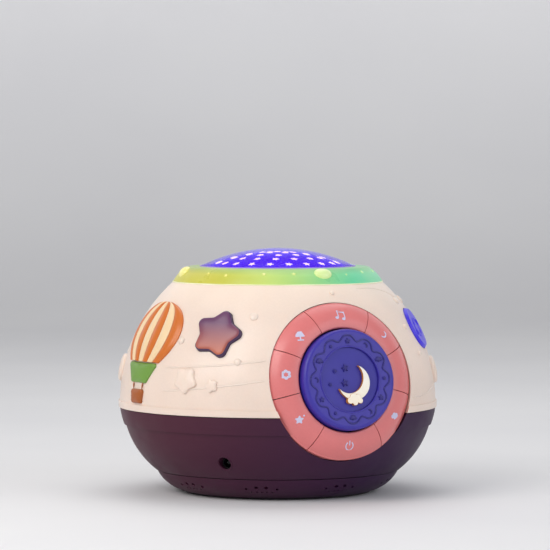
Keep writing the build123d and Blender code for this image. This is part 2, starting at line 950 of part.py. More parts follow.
def make_motor_shaft():
    bottom_z = motor_bottom_z + shaft_sunk
    top_z = gear_bottom_z + gear_thickness + 0.7
    return post(Plane((0, motor_y(), bottom_z)), shaft_radius, top_z - bottom_z)


def make_motor_can():
    with BuildPart() as motor_can:
        with BuildSketch(Plane.XY.offset(motor_bottom_z)):
            with Locations((0, motor_y())):
                Circle(motor_radius)
        extrude(amount=deck_bottom_z - motor_bottom_z)
        with BuildSketch(Plane.XY.offset(deck_bottom_z)):
            with Locations((0, motor_y())):
                Circle(motor_nose_r)
        extrude(amount=deck_thickness + 0.8)
        with BuildSketch(Plane.XY.offset(motor_bottom_z + shaft_sunk)):
            with Locations((0, motor_y())):
                Circle(shaft_radius + running_fit)
        extrude(amount=30, mode=Mode.SUBTRACT)
    return motor_can.part


def make_projector_deck():
    deck_top = deck_bottom_z + deck_thickness
    wall_r = dome_flange_r - 0.1
    wall_top = ring_top_z - ring_wall - dome_flange_thickness
    track_r = gear_bore_r - running_fit
    with BuildPart() as projector_deck:
        with BuildSketch(Plane.XY.offset(deck_bottom_z)):
            Circle(wall_r)
            for azimuth in deck_screw_azimuths:
                spot = around(deck_screw_circle_r, azimuth)
                middle = around((deck_screw_circle_r + wall_r - 4) / 2, azimuth)
                with Locations((spot.X, spot.Y)):
                    Circle(deck_tab_r)
                with Locations(Location((middle.X, middle.Y, 0), (0, 0, azimuth - 90))):
                    Rectangle(deck_screw_circle_r - wall_r + 4, 2 * deck_tab_r)
        extrude(amount=deck_thickness)
        with BuildSketch(Plane.XY.offset(deck_top)):
            Circle(wall_r)
            Circle(wall_r - deck_wall, mode=Mode.SUBTRACT)
        extrude(amount=wall_top - deck_top)
        with BuildSketch(Plane.XY.offset(deck_top)):
            Circle(collar_outer_r - 0.3)
            Circle(track_bore_r, mode=Mode.SUBTRACT)
        extrude(amount=gear_bottom_z - 0.2 - deck_top)
        with BuildSketch(Plane.XY.offset(gear_bottom_z - 0.2)):
            Circle(track_r)
            Circle(track_bore_r, mode=Mode.SUBTRACT)
        extrude(amount=gear_thickness + 0.8)
        for side in (-1, 1):
            with Locations((side * strap_post_x, motor_y(), motor_bottom_z)):
                Cylinder(strap_post_r, deck_bottom_z - motor_bottom_z + 0.5, align=upright)
        with Locations((0, motor_y(), deck_bottom_z)):
            Cylinder(motor_nose_r, deck_thickness, align=upright, mode=Mode.SUBTRACT)
        for azimuth in deck_screw_azimuths:
            with Locations(around(deck_screw_circle_r, azimuth, deck_bottom_z)):
                Cylinder(screw_shank_r, deck_thickness, align=upright, mode=Mode.SUBTRACT)
    return projector_deck.part


def make_motor_strap():
    with BuildPart() as motor_strap:
        with BuildSketch(Plane.XY.offset(motor_bottom_z - strap_thickness)):
            with Locations((0, motor_y())):
                SlotOverall(strap_length, strap_width)
        extrude(amount=strap_thickness)
    return motor_strap.part


def make_star_led_board():
    with BuildPart() as star_led_board:
        with BuildSketch(Plane.XY.offset(deck_bottom_z + deck_thickness)):
            Circle(star_board_r)
        extrude(amount=board_thickness)
    return star_led_board.part


def make_star_leds():
    base_z = deck_bottom_z + deck_thickness + board_thickness
    with BuildPart() as star_leds:
        with BuildSketch(Plane.XY.offset(base_z)):
            with PolarLocations(star_led_circle_r, 4):
                Circle(star_led_r)
        extrude(amount=star_led_height)
        with PolarLocations(star_led_circle_r, 4):
            with Locations((0, 0, base_z + star_led_height)):
                Sphere(star_led_r)
    return star_leds.part


def make_light_cup():
    base_z = deck_bottom_z + deck_thickness + board_thickness
    return spun(
        [
            (cup_foot_r, base_z),
            (cup_foot_r + cup_wall, base_z),
            (cup_mouth_r + cup_wall, base_z + cup_height),
            (cup_mouth_r, base_z + cup_height),
        ]
    )


def make_ring_led_board():
    with BuildPart() as ring_led_board:
        with BuildSketch(Plane.XY.offset(ring_skirt_bottom_z)):
            Circle(ring_skirt_r - ring_skirt_wall - 0.3)
            Circle(dome_flange_r + 0.5, mode=Mode.SUBTRACT)
        extrude(amount=ring_board_thickness)
    return ring_led_board.part


def make_ring_leds():
    with BuildPart() as ring_leds:
        with BuildSketch(Plane.XY.offset(ring_skirt_bottom_z + ring_board_thickness)):
            with PolarLocations(ring_led_circle_r, ring_led_count, start_angle=15):
                Rectangle(ring_led_size, ring_led_size)
        extrude(amount=ring_led_height)
    return ring_leds.part


def make_panel_frame():
    plate_bottom = frame_top_h - frame_plate
    tab_middle_r = (frame_radius + panel_screw_r) / 2 - 0.5
    tab_length = panel_screw_r - frame_radius + 2.0
    with BuildPart() as panel_frame:
        with BuildSketch(panel_plane.offset(plate_bottom)):
            Circle(frame_radius)
        extrude(amount=frame_plate)
        with BuildSketch(panel_plane.offset(board_top_h)):
            Circle(frame_radius)
            Circle(frame_radius - frame_rim, mode=Mode.SUBTRACT)
        extrude(amount=plate_bottom - board_top_h)
        for angle in panel_screw_angles:
            with BuildSketch(panel_plane.offset(board_top_h)):
                with Locations(Rotation(0, 0, -angle) * Pos(0, tab_middle_r)):
                    Rectangle(5.6, tab_length)
                with Locations(Rotation(0, 0, -angle) * Pos(0, panel_screw_r)):
                    Circle(2.5)
            extrude(amount=panel_tab_thickness)
        for name, start, end in key_spans():
            with Locations(on_panel(plunger_circle_r, (start + end) / 2, plate_bottom)):
                Cylinder(plunger_radius + plunger_clearance, frame_plate, align=upright, mode=Mode.SUBTRACT)
        with Locations(on_panel(0, 0, plate_bottom)):
            Cylinder(pad_stem_r + plunger_clearance, frame_plate, align=upright, mode=Mode.SUBTRACT)
        for angle in panel_screw_angles:
            with Locations(on_panel(panel_screw_r, angle, board_top_h)):
                Cylinder(
                    panel_screw_shank_r + thread_play,
                    panel_tab_thickness,
                    align=upright,
                    mode=Mode.SUBTRACT,
                )
    return panel_frame.part


def key_spans():
    """Each key's name with the clockwise angles where it starts and ends."""
    return list(zip(key_names, key_edges[:-1], key_edges[1:]))


def key_wedge(profile, start, end):
    """A wedge of a ring on the panel, between two clockwise angles."""
    with BuildPart() as wedge:
        with BuildSketch(panel_radial_plane(end)):
            with BuildLine():
                profile()
            make_face()
        revolve(axis=panel_axis, revolution_arc=end - start)
    return wedge.part


def key_outline():
    """A key's section: high by the pad, falling in a soft curve to the rim."""
    crown_r = (key_inner_r + key_outer_r) / 2 + 0.8
    Polyline(
        (key_outer_r, key_outer_h - 0.9),
        (key_outer_r, key_skirt_h),
        (key_inner_r, key_skirt_h),
        (key_inner_r, key_inner_h - 0.9),
    )
    ThreePointArc(
        (key_inner_r, key_inner_h - 0.9),
        (key_inner_r + 0.3, key_inner_h - 0.25),
        (key_inner_r + 1.1, key_inner_h),
    )
    ThreePointArc(
        (key_inner_r + 1.1, key_inner_h),
        (crown_r, key_crown_h),
        (key_outer_r - 0.6, key_outer_h),
    )
    ThreePointArc(
        (key_outer_r - 0.6, key_outer_h),
        (key_outer_r - 0.12, key_outer_h - 0.35),
        (key_outer_r, key_outer_h - 0.9),
    )


def key_hollow():
    """The hollow under a key, open below."""
    crown_r = (key_inner_r + key_outer_r) / 2 + 0.8
    Polyline(
        (key_outer_r - key_shell, key_outer_h - 1.0),
        (key_outer_r - key_shell, key_skirt_h - 1),
        (key_inner_r + key_shell, key_skirt_h - 1),
        (key_inner_r + key_shell, key_inner_h - key_shell - 0.3),
    )
    ThreePointArc(
        (key_inner_r + key_shell, key_inner_h - key_shell - 0.3),
        (crown_r - 0.2, key_crown_h - key_shell - 0.2),
        (key_outer_r - key_shell, key_outer_h - 1.0),
    )


def make_key(start, end):
    middle = (start + end) / 2
    trim = key_gap / 2 / plunger_circle_r * 180 / pi
    side = key_shell / plunger_circle_r * 180 / pi
    body = key_wedge(key_outline, start + trim, end - trim)
    hollow = key_wedge(key_hollow, start + trim + side, end - trim - side)
    with BuildPart() as key:
        add(body)
        add(hollow, mode=Mode.SUBTRACT)
        with BuildSketch(on_panel(plunger_circle_r, middle, plunger_tip_h)):
            Circle(plunger_radius)
        extrude(amount=key_crown_h - 0.6 - plunger_tip_h)
    return key.part


def make_pad_cap():
    seat_h = pad_top_h - dish_depth - dish_thickness
    with BuildPart() as pad_cap:
        with BuildSketch(panel_plane.offset(key_skirt_h)):
            Circle(pad_outer_r)
        extrude(amount=pad_top_h - key_skirt_h)
        fillet(pad_cap.faces().sort_by(panel_axis)[-1].edges(), radius=pad_edge_round)
        with BuildSketch(panel_plane.offset(seat_h)):
            Circle(dish_radius + dish_clearance)
        extrude(amount=10, mode=Mode.SUBTRACT)
        with BuildSketch(panel_plane.offset(key_skirt_h)):
            Circle(pad_outer_r - key_shell)
        extrude(amount=seat_h - 2.0 - key_skirt_h, mode=Mode.SUBTRACT)
        with BuildSketch(panel_plane.offset(plunger_tip_h)):
            Circle(pad_stem_r)
        extrude(amount=seat_h - 1.0 - plunger_tip_h)
    return pad_cap.part


def make_pad_dish():
    seat_h = pad_top_h - dish_depth - dish_thickness
    with BuildPart() as pad_dish:
        with BuildSketch(panel_plane.offset(seat_h)):
            Circle(dish_radius)
        extrude(amount=dish_thickness)
        with BuildSketch(panel_plane.offset(seat_h + dish_thickness)):
            with Locations(*dish_stars):
                Polygon(*star_points(dish_star_r, dish_star_r / 2, 12), align=None)
            for x, y, size in dish_dots:
                with Locations((x, y)):
                    Circle(size)
        extrude(amount=dish_relief)
    return pad_dish.part


def make_moon_emblem():
    top_h = pad_top_h - dish_depth
    cloud_x, cloud_y = cloud_spot
    with BuildPart() as moon_emblem:
        with BuildSketch(panel_plane.offset(top_h)):
            with Locations(moon_spot):
                Circle(moon_r)
            with Locations(moon_bite_spot):
                Circle(moon_bite_r, mode=Mode.SUBTRACT)
        extrude(amount=moon_height)
        with BuildSketch(panel_plane.offset(top_h)):
            with Locations(cloud_spot):
                Ellipse(4.4, 1.6)
            with Locations((cloud_x - 1.9, cloud_y + 0.7)):
                Circle(1.7)
            with Locations((cloud_x + 1.2, cloud_y + 0.9)):
                Circle(2.0)
        extrude(amount=cloud_height)
    return moon_emblem.part


def make_key_board():
    with BuildPart() as key_board:
        with BuildSketch(panel_plane.offset(board_top_h - board_thickness)):
            Circle(frame_radius)
        extrude(amount=board_thickness)
    return key_board.part


def make_key_switches():
    spots = [(plunger_circle_r, (start + end) / 2) for name, start, end in key_spans()]
    spots.append((0, 0))
    switch_body = switch_height - switch_tip_height
    with BuildPart() as key_switches:
        for radius, angle in spots:
            with BuildSketch(on_panel(radius, angle, board_top_h)):
                Rectangle(switch_size, switch_size)
            extrude(amount=switch_body)
            with BuildSketch(on_panel(radius, angle, board_top_h + switch_body)):
                Circle(switch_tip_r)
            extrude(amount=switch_tip_height)
    return key_switches.part


def make_star_button():
    place = side_plane(star_azimuth, star_height)
    body = star_block(-button_skirt, star_proud, 0)
    with BuildPart() as star_button:
        add(body)
        top = star_button.faces().sort_by(Axis(place.origin, place.z_dir))[-1]
        fillet(top.edges(), radius=star_corner * 0.75)
        with BuildSketch(place.offset(-button_skirt)):
            Circle(star_inner_r - button_wall)
        extrude(amount=button_skirt + star_proud - star_roof, mode=Mode.SUBTRACT)
        with BuildSketch(place.offset(side_tip_h)):
            Circle(button_stem_r)
        extrude(amount=star_proud - star_roof / 2 - side_tip_h)
    return star_button.part


def make_planet_button():
    place = side_plane(planet_azimuth, planet_height)
    with BuildPart() as planet_button:
        with BuildSketch(place.offset(-button_skirt)):
            Circle(planet_radius)
        extrude(amount=button_skirt + planet_proud - planet_chamfer)
        top = planet_button.faces().sort_by(Axis(place.origin, place.z_dir))[-1]
        extrude(top, amount=planet_chamfer, taper=40)
        with BuildSketch(place.offset(-button_skirt)):
            Circle(planet_radius - button_wall)
        extrude(amount=button_skirt + planet_proud - planet_roof, mode=Mode.SUBTRACT)
        with BuildSketch(place.offset(side_tip_h)):
            Circle(button_stem_r)
        extrude(amount=planet_proud - planet_roof / 2 - side_tip_h)
    return planet_button.part


def make_side_boards():
    with BuildPart() as side_boards:
        for azimuth, z in ((star_azimuth, star_height), (planet_azimuth, planet_height)):
            place = side_plane(azimuth, z).offset(side_board_top_h - board_thickness)
            with BuildSketch(place):
                RectangleRounded(2 * side_post_x + 6.0, 12.0, 2.5)
            extrude(amount=board_thickness)
    return side_boards.part


def make_side_switches():
    switch_body = switch_height - switch_tip_height
    with BuildPart() as side_switches:
        for azimuth, z in ((star_azimuth, star_height), (planet_azimuth, planet_height)):
            place = side_plane(azimuth, z).offset(side_board_top_h)
            with BuildSketch(place):
                Rectangle(switch_size, switch_size)
            extrude(amount=switch_body)
            with BuildSketch(place.offset(switch_body)):
                Circle(switch_tip_r)
            extrude(amount=switch_tip_height)
    return side_switches.part


def balloon_plane():
    return side_plane(balloon_azimuth, balloon_height).offset(-16)


def balloon_gore_shapes():
    """Three upright lens shapes: one wide in the middle, one thin on each side."""
    with BuildPart() as gores:
        with BuildSketch(balloon_plane()):
            for bulge, back in ((5.2, -5.2), (15.2, 10.6), (-15.2, -10.6)):
                with BuildLine():
                    ThreePointArc((0, 25.6), (bulge, 8.0), (0, -5.0))
                    ThreePointArc((0, -5.0), (back, 8.0), (0, 25.6))
                make_face()
        extrude(amount=26)
    return gores.part


def make_balloon_envelope():
    layer = skin_layer(0.0, balloon_proud, relief_bottom_z, relief_top_z - 1)
    gores = balloon_gore_shapes()
    with BuildPart() as balloon_envelope:
        with BuildSketch(balloon_plane()):
            with BuildLine():
                Line((-14.0, -5.5), (14.0, -5.5))
                ThreePointArc((14.0, -5.5), (21.6, 5.0), (19.0, 17.0))
                ThreePointArc((19.0, 17.0), (0, 27.6), (-19.0, 17.0))
                ThreePointArc((-19.0, 17.0), (-21.6, 5.0), (-14.0, -5.5))
            make_face()
        extrude(amount=26)
        add(gores, mode=Mode.SUBTRACT)
        add(layer, mode=Mode.INTERSECT)
    return balloon_envelope.part


def make_balloon_gores():
    layer = skin_layer(0.0, balloon_proud, relief_bottom_z, relief_top_z - 1)
    gores = balloon_gore_shapes()
    with BuildPart() as balloon_gores:
        add(gores)
        add(layer, mode=Mode.INTERSECT)
    return balloon_gores.part


def make_balloon_skirt():
    layer = skin_layer(0.0, basket_proud, relief_bottom_z, relief_top_z - 1)
    with BuildPart() as balloon_skirt:
        with BuildSketch(balloon_plane()):
            with BuildLine():
                Line((-14.0, -5.9), (14.0, -5.9))
                ThreePointArc((14.0, -5.9), (10.6, -10.0), (7.0, -15.5))
                Line((7.0, -15.5), (-7.0, -15.5))
                ThreePointArc((-7.0, -15.5), (-10.6, -10.0), (-14.0, -5.9))
            make_face()
        extrude(amount=26)
        add(layer, mode=Mode.INTERSECT)
    return balloon_skirt.part


def make_balloon_basket():
    layer = skin_layer(0.0, basket_proud, relief_bottom_z, relief_top_z - 1)
    with BuildPart() as balloon_basket:
        with BuildSketch(balloon_plane()):
            with Locations((0, -23.6)):
                RectangleRounded(12.5, 7.6, 1.8)
            with Locations((-4.6, -18.4), (4.6, -18.4)):
                Rectangle(1.2, 5.0)
        extrude(amount=26)
        add(layer, mode=Mode.INTERSECT)
    return balloon_basket.part


def make_main_board():
    length, width = main_board_size
    with BuildPart() as main_board:
        with BuildSketch(Plane.XY.offset(main_board_z)):
            RectangleRounded(length, width, 3.0)
        extrude(amount=board_thickness)
    return main_board.part


def make_board_chips():
    top = main_board_z + board_thickness
    with BuildPart() as board_chips:
        with BuildSketch(Plane.XY.offset(top)):
            with Locations((-14.0, 2.0)):
                Rectangle(14.0, 14.0)
            with Locations((16.0, 8.0)):
                Rectangle(10.0, 6.0)
        extrude(amount=1.8)
        with BuildSketch(Plane.XY.offset(top)):
            with Locations((18.0, -12.0), (27.0, -12.0)):
                Circle(3.2)
        extrude(amount=8.0)
    return board_chips.part


def make_battery_holder():
    floor_z = bowl_foot_z + floor_thickness
    with BuildPart() as battery_holder:
        with Locations((0, cell_y, floor_z)):
            Box(cell_length + 3.0, 2 * (cell_radius + holder_wall), cell_z - 2.0 - floor_z, align=upright)
        with Locations(Location((0, cell_y, cell_z), (0, 90, 0))):
            Cylinder(cell_radius, cell_length, mode=Mode.SUBTRACT)
    return battery_holder.part


def make_battery_cell():
    with BuildPart() as battery_cell:
        with Locations(Location((0, cell_y, cell_z), (0, 90, 0))):
            Cylinder(cell_radius, cell_length)
    return battery_cell.part


def make_speaker_basket():
    flange_bottom = bowl_foot_z - speaker_flange
    return spun(
        [
            (24.0, flange_bottom),
            (speaker_rim_r, flange_bottom),
            (speaker_rim_r, bowl_foot_z),
            (25.6, bowl_foot_z),
            (15.0, speaker_magnet_z),
            (8.0, speaker_magnet_z),
            (8.0, 18.4),
            (14.0, 18.4),
            (24.0, 11.6),
        ]
    )


def make_speaker_cone():
    flange_bottom = bowl_foot_z - speaker_flange
    return spun(
        [
            (24.0, flange_bottom),
            (24.0, flange_bottom + 0.8),
            (21.0, flange_bottom + 0.8),
            (7.0, 17.2),
            (0, 17.2),
            (0, 16.4),
            (6.6, 16.4),
            (20.6, flange_bottom),
        ]
    )


def make_speaker_magnet():
    return post(Plane((0, 0, speaker_magnet_z)), speaker_magnet_r, 8.0)


def make_charge_jack():
    length = jack_nose_length
    with BuildPart() as charge_jack:
        with BuildSketch(jack_location(jack_face_r - length - jack_body_length)):
            Rectangle(9.0, 10.0)
        extrude(amount=jack_body_length)
        with BuildSketch(jack_location(jack_face_r - length)):
            Circle(jack_nose_r)
        extrude(amount=length)
        with BuildSketch(jack_location(jack_face_r - jack_socket_depth)):
            Circle(jack_socket_r)
            Circle(jack_pin_r, mode=Mode.SUBTRACT)
        extrude(amount=jack_socket_depth, mode=Mode.SUBTRACT)
    with BuildPart() as pedestal:
        middle = around(jack_face_r - length - jack_body_length / 2, jack_azimuth, 0)
        floor_z = bowl_foot_z + floor_thickness
        with Locations(Location((middle.X, middle.Y, floor_z), (0, 0, jack_azimuth - 90))):
            Box(11.0, 11.0, 1.6, align=upright)
    with BuildPart() as socket:
        add(charge_jack.part)
        add(pedestal.part)
    return socket.part


def screw(place, shank_length):
    """A pan-head screw whose head sits on a plane and whose shank runs along it."""
    with BuildPart() as one:
        with BuildSketch(place.offset(-screw_head_height)):
            Circle(screw_head_r)
        extrude(amount=screw_head_height)
        with BuildSketch(place):
            Circle(screw_shank_r - thread_play)
        extrude(amount=shank_length)
    return one.part


def make_shell_screws():
    head_z = well_top_z - well_roof
    with BuildPart() as shell_screws:
        for azimuth in well_azimuths:
            add(screw(Plane(around(well_circle_r, azimuth, head_z)), 12.0))
    return shell_screws.part


def make_base_screws():
    with BuildPart() as base_screws:
        for azimuth in cover_screw_azimuths:
            add(screw(Plane(around(cover_screw_circle_r, azimuth, cover_screw_seat_z)), 9.5))
    return base_screws.part


def make_deck_screws():
    with BuildPart() as deck_screws:
        for azimuth in deck_screw_azimuths:
            add(screw(Plane(around(deck_screw_circle_r, azimuth, deck_bottom_z)), 5.5))
    return deck_screws.part


def make_panel_screws():
    with BuildPart() as panel_screws:
        for angle in panel_screw_angles:
            place = on_panel(panel_screw_r, angle, board_top_h)
            with BuildSketch(place.offset(-panel_screw_head_height)):
                Circle(panel_screw_head_r)
            extrude(amount=panel_screw_head_height)
            with BuildSketch(place):
                Circle(panel_screw_shank_r)
            extrude(amount=panel_tab_thickness)
    return panel_screws.part


def cable(points, radius):
    """A round lead that runs smoothly through its points."""
    with BuildPart() as lead:
        with BuildLine() as path:
            Spline(*points)
        start = path.line @ 0
        along = path.line % 0
        with BuildSketch(Plane(origin=start, z_dir=along)):
            Circle(radius)
        sweep()
    return lead.part


def make_battery_leads():
    with BuildPart() as battery_leads:
        add(cable([(30.0, 40.4, 35.7), (30.0, 32.0, 34.5), (28.0, 24.0, 35.0)], lead_radius))
        add(cable([(-30.0, 40.4, 35.7), (-30.0, 32.0, 34.5), (-28.0, 24.0, 35.0)], lead_radius))
    return battery_leads.part


def make_speaker_leads():
    with BuildPart() as speaker_leads:
        add(cable([(17.5, -6.0, 20.0), (22.0, -8.0, 26.0), (24.0, -8.0, 35.2)], lead_radius))
        add(cable([(17.5, 6.0, 20.0), (22.0, 8.0, 26.0), (24.0, 8.0, 35.2)], lead_radius))
    return speaker_leads.part


def make_panel_cable():
    start = panel_spot(12.0, 180, board_top_h - board_thickness - cable_radius)
    return cable([start, (0, -46.0, 44.0), (0, -30.0, 40.0), (0, -22.0, 38.8)], cable_radius)


def make_deck_cable():
    points = [(-20.0, 8.0, 98.8), (-26.0, 10.0, 85.0), (-27.0, 12.0, 60.0), (-24.0, 12.0, 38.8)]
    return cable(points, cable_radius)


def save(body, name):
    """Labels a sub-part and writes its file."""
    body.label = name
    export_step(body, f"parts/{name}.step")


save(make_upper_shell(), "upper_shell")
save(make_lower_shell(), "lower_shell")
save(make_base_cover(), "base_cover")
save(make_foot_ring(), "foot_ring")
save(make_light_ring(), "light_ring")
save(make_dome_cover(), "dome_cover")
save(make_star_mask(), "star_mask")
save(make_mask_gear(), "mask_gear")
save(make_drive_pinion(), "drive_pinion")
save(make_motor_shaft(), "motor_shaft")
save(make_motor_can(), "motor_can")
save(make_motor_strap(), "motor_strap")
save(make_projector_deck(), "projector_deck")
save(make_star_led_board(), "star_led_board")
save(make_star_leds(), "star_leds")
save(make_light_cup(), "light_cup")
save(make_ring_led_board(), "ring_led_board")
save(make_ring_leds(), "ring_leds")
save(make_panel_frame(), "panel_frame")
for key_name, key_start, key_end in key_spans():
    save(make_key(key_start, key_end), key_name)
save(make_pad_cap(), "pad_cap")
save(make_pad_dish(), "pad_dish")
save(make_moon_emblem(), "moon_emblem")
save(make_key_board(), "key_board")
save(make_key_switches(), "key_switches")
save(make_star_button(), "star_button")
save(make_planet_button(), "planet_button")
save(make_side_boards(), "side_boards")
save(make_side_switches(), "side_switches")
save(make_balloon_envelope(), "balloon_envelope")
save(make_balloon_gores(), "balloon_gores")
save(make_balloon_skirt(), "balloon_skirt")
save(make_balloon_basket(), "balloon_basket")
save(make_main_board(), "main_board")
save(make_board_chips(), "board_chips")
save(make_battery_holder(), "battery_holder")
save(make_battery_cell(), "battery_cell")
save(make_speaker_basket(), "speaker_basket")
save(make_speaker_cone(), "speaker_cone")
save(make_speaker_magnet(), "speaker_magnet")
save(make_charge_jack(), "charge_jack")
save(make_shell_screws(), "shell_screws")
save(make_base_screws(), "base_screws")
save(make_deck_screws(), "deck_screws")
save(make_panel_screws(), "panel_screws")
save(make_battery_leads(), "battery_leads")
save(make_speaker_leads(), "speaker_leads")
save(make_panel_cable(), "panel_cable")
save(make_deck_cable(), "deck_cable")
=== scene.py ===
import json
import math
import random

import bmesh
import bpy
from mathutils import Matrix, Vector


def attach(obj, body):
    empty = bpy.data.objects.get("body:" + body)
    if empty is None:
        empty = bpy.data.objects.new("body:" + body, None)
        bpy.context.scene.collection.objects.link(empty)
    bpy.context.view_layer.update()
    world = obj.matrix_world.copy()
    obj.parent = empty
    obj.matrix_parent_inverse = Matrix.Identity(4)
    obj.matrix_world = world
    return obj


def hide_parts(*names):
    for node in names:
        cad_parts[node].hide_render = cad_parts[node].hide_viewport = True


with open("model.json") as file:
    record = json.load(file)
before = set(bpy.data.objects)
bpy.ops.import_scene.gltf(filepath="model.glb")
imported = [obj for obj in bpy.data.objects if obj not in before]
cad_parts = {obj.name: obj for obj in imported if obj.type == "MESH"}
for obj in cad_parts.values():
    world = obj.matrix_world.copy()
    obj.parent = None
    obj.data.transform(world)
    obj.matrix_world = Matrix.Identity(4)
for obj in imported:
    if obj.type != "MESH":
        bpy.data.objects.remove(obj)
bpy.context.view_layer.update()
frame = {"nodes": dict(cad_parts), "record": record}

MM = 0.001

# The lamp's outer skin is an arc spun about Z, as in the CAD part, in mm
SKIN_RADIUS = 87.3
SKIN_CENTER_R = -2.3
SKIN_CENTER_Z = 48.0

# The control panel's plane, as in the CAD part
PANEL_TILT = math.radians(8.9)
PANEL_CENTER = Vector((0, -71.25, 63.1))
PANEL_NORMAL = Vector((0, -math.cos(PANEL_TILT), math.sin(PANEL_TILT)))
PANEL_UP = Vector((0, math.sin(PANEL_TILT), math.cos(PANEL_TILT)))
PANEL_RIGHT = Vector((1, 0, 0))
PAD_TOP = 12.2
DISH_TOP = 11.2
KEY_CROWN = ((28.1, 7.6), (34.75, 5.8), (40.3, 1.0))

# What is printed on the keys and raised on the pad and in its dish
SYMBOL_SCALE = 1.15
SYMBOL_RING = 34.0
PRINT_LOW = -0.08
PRINT_HIGH = 0.07
WAVE_RING = 21.8
WAVE_SWING = 1.4
WAVE_FLATTEN = 0.28
WAVE_COUNT = 12
MOTIF_RING = 19.9
DISH_RIM_R = 17.15
DISH_STARS = ((-2.2, 5.9, 12.0), (-2.9, -1.8, 12.0))
DISH_DOTS = ((-8.1, 4.5, 1.1), (-11.3, -2.3, 0.95))
MOON_SPOT = (1.8, -1.7)
MOON_RADIUS = 9.2
MOON_BITE = 8.3
MOON_SHIFT = (-2.7, 2.7)
MOON_HEIGHT = 1.9
CLOUD_SPOT = (1.4, -10.6)
CLOUD_SCALE = 0.55
CLOUD_MEAN_R = 2.6
CLOUD_HEIGHT = 2.3
EDGE_FACE_LIMIT = 0.7

# Side buttons: azimuth from the panel in degrees and height
STAR_SPOT = (-51.0, 87.9)
PLANET_SPOT = (52.5, 88.6)
STAR_OUTER = 15.2
STAR_INNER = 9.75
STAR_CORNER = 3.0
STAR_LEAN = -15.5
PLANET_PROUD = 0.8

# Balloon motif: its spot, then heights and half widths of the envelope around it
BALLOON_SPOT = (-87.0, 77.0)
BALLOON_TOP = 29.6
BALLOON_LOW = -5.4
BALLOON_WIDEST = 10.0
BALLOON_HALF_WIDTH = 24.6
BALLOON_NECK = 15.6
BALLOON_GORES = 7
GORE_SKIRT = 1.6

# Bowl side and charging hole
BOWL_SIDE = ((65.8, 12.1), (77.3, 25.5), (81.8, 36.4))
JACK_SPOT = (-48.3, 21.0)
JACK_RIM_R = 3.8

# Glow ring and dome
RING_FOOT = (56.3, 112.9)
DOME_EDGE = (41.75, 121.1)
DOME_RADIUS = 94.0
DOME_TOP_Z = 130.7
MASK_BELOW = 2.1
WINDOW_ROWS = ((0.0, 1), (8.2, 6), (16.2, 10), (24.2, 15), (32.0, 20))
WINDOW_OUTER = 2.0
WINDOW_INNER = 0.85
BEAD_AZIMUTHS = (0.5, 101.5, 180.5, 259.5)

# Raised motifs on the shell: azimuth and height, then size and lean
SHELL_STARS = (
    (-61.4, 64.0, 7.9, 180.0),
    (-50.6, 61.6, 4.0, 20.0),
    (121.0, 66.0, 7.9, 200.0),
    (134.0, 80.0, 4.0, 30.0),
    (-150.0, 84.0, 7.9, 15.0),
)
SHELL_DOTS = (
    (-36.8, 97.0, 2.3),
    (-67.0, 84.0, 2.0),
    (-41.4, 74.0, 1.9),
    (42.0, 75.9, 1.6),
    (38.3, 89.9, 1.5),
    (47.5, 103.0, 2.1),
    (62.0, 103.0, 2.8),
    (1.0, 108.5, 1.3),
    (112.0, 88.0, 2.2),
    (148.0, 98.0, 2.0),
    (-132.0, 94.0, 2.0),
    (-165.0, 62.0, 2.0),
)
SHELL_OVALS = ((62.0, 65.6, 7.8), (-116.0, 66.5, 8.0))

# Fine lines on the shell, each from a start over a middle to an end
ORBIT_SWEEPS = (
    ((-74.0, 70.0), (-50.0, 72.0), (-29.5, 75.2)),
    ((-74.0, 57.6), (-50.0, 61.0), (-29.5, 65.2)),
    ((29.0, 53.6), (42.0, 55.0), (60.0, 60.5)),
    ((16.0, 110.4), (36.0, 109.6), (52.0, 103.5)),
    ((72.0, 62.0), (110.0, 72.0), (150.0, 58.0)),
    ((-172.0, 70.0), (-140.0, 78.0), (-112.0, 74.0)),
    ((172.0, 96.0), (150.0, 104.0), (118.0, 98.0)),
)

# Camera
CAMERA_AZIMUTH = math.radians(-26.6)
CAMERA_ELEVATION = math.radians(2.07)
CAMERA_DISTANCE = 1700.0
CAMERA_AIM_Z = 116.1
CAMERA_AIM_SIDE = -1.45
CAMERA_LENS = 206.6

HOUSING = "housing"
KEYS = (
    ("key_top", 1.0),
    ("key_upper_right", 46.25),
    ("key_right", 83.25),
    ("key_lower_right", 125.0),
    ("key_bottom", 180.0),
    ("key_lower_left", 235.0),
    ("key_left", 276.75),
    ("key_upper_left", 314.75),
)


# ---------------------------------------------------------------- colours


def srgb(red, green, blue):
    """A colour given as 0 to 255 screen values, as the linear colour Blender uses."""

    def linear(value):
        value = value / 255
        return value / 12.92 if value <= 0.04045 else ((value + 0.055) / 1.055) ** 2.4

    return (linear(red), linear(green), linear(blue), 1.0)


BLACK = (0.0, 0.0, 0.0, 1.0)
CREAM = srgb(243, 222, 208)
BOWL = srgb(50, 20, 60)
# Painted warm light on the bowl's left side
BOWL_PAINTED_WARM_LIGHT = srgb(82, 34, 44)
KEY_CORAL = srgb(224, 122, 122)
PAD_VIOLET = srgb(54, 44, 160)
PAD_LINE = srgb(36, 28, 122)
DISH_VIOLET = srgb(46, 38, 156)
MOON = srgb(255, 250, 240)
# Painted shade: a darker copy of the star button's mauve for its rim
STAR_RIM_SHADE = srgb(66, 42, 84)
STAR_TOP = srgb(100, 52, 94)
# Painted warm light on the star button's lower part
STAR_PAINTED_WARM_LIGHT = srgb(200, 106, 68)
# Painted warm light and shade on the side walls of the moon and cloud
MOON_SIDE_LIGHT_SHADE = srgb(196, 124, 52)
PLANET = srgb(56, 32, 228)
RING_LEFT = srgb(190, 184, 50)
RING_MIDDLE = srgb(180, 206, 100)
RING_RIGHT = srgb(92, 204, 158)
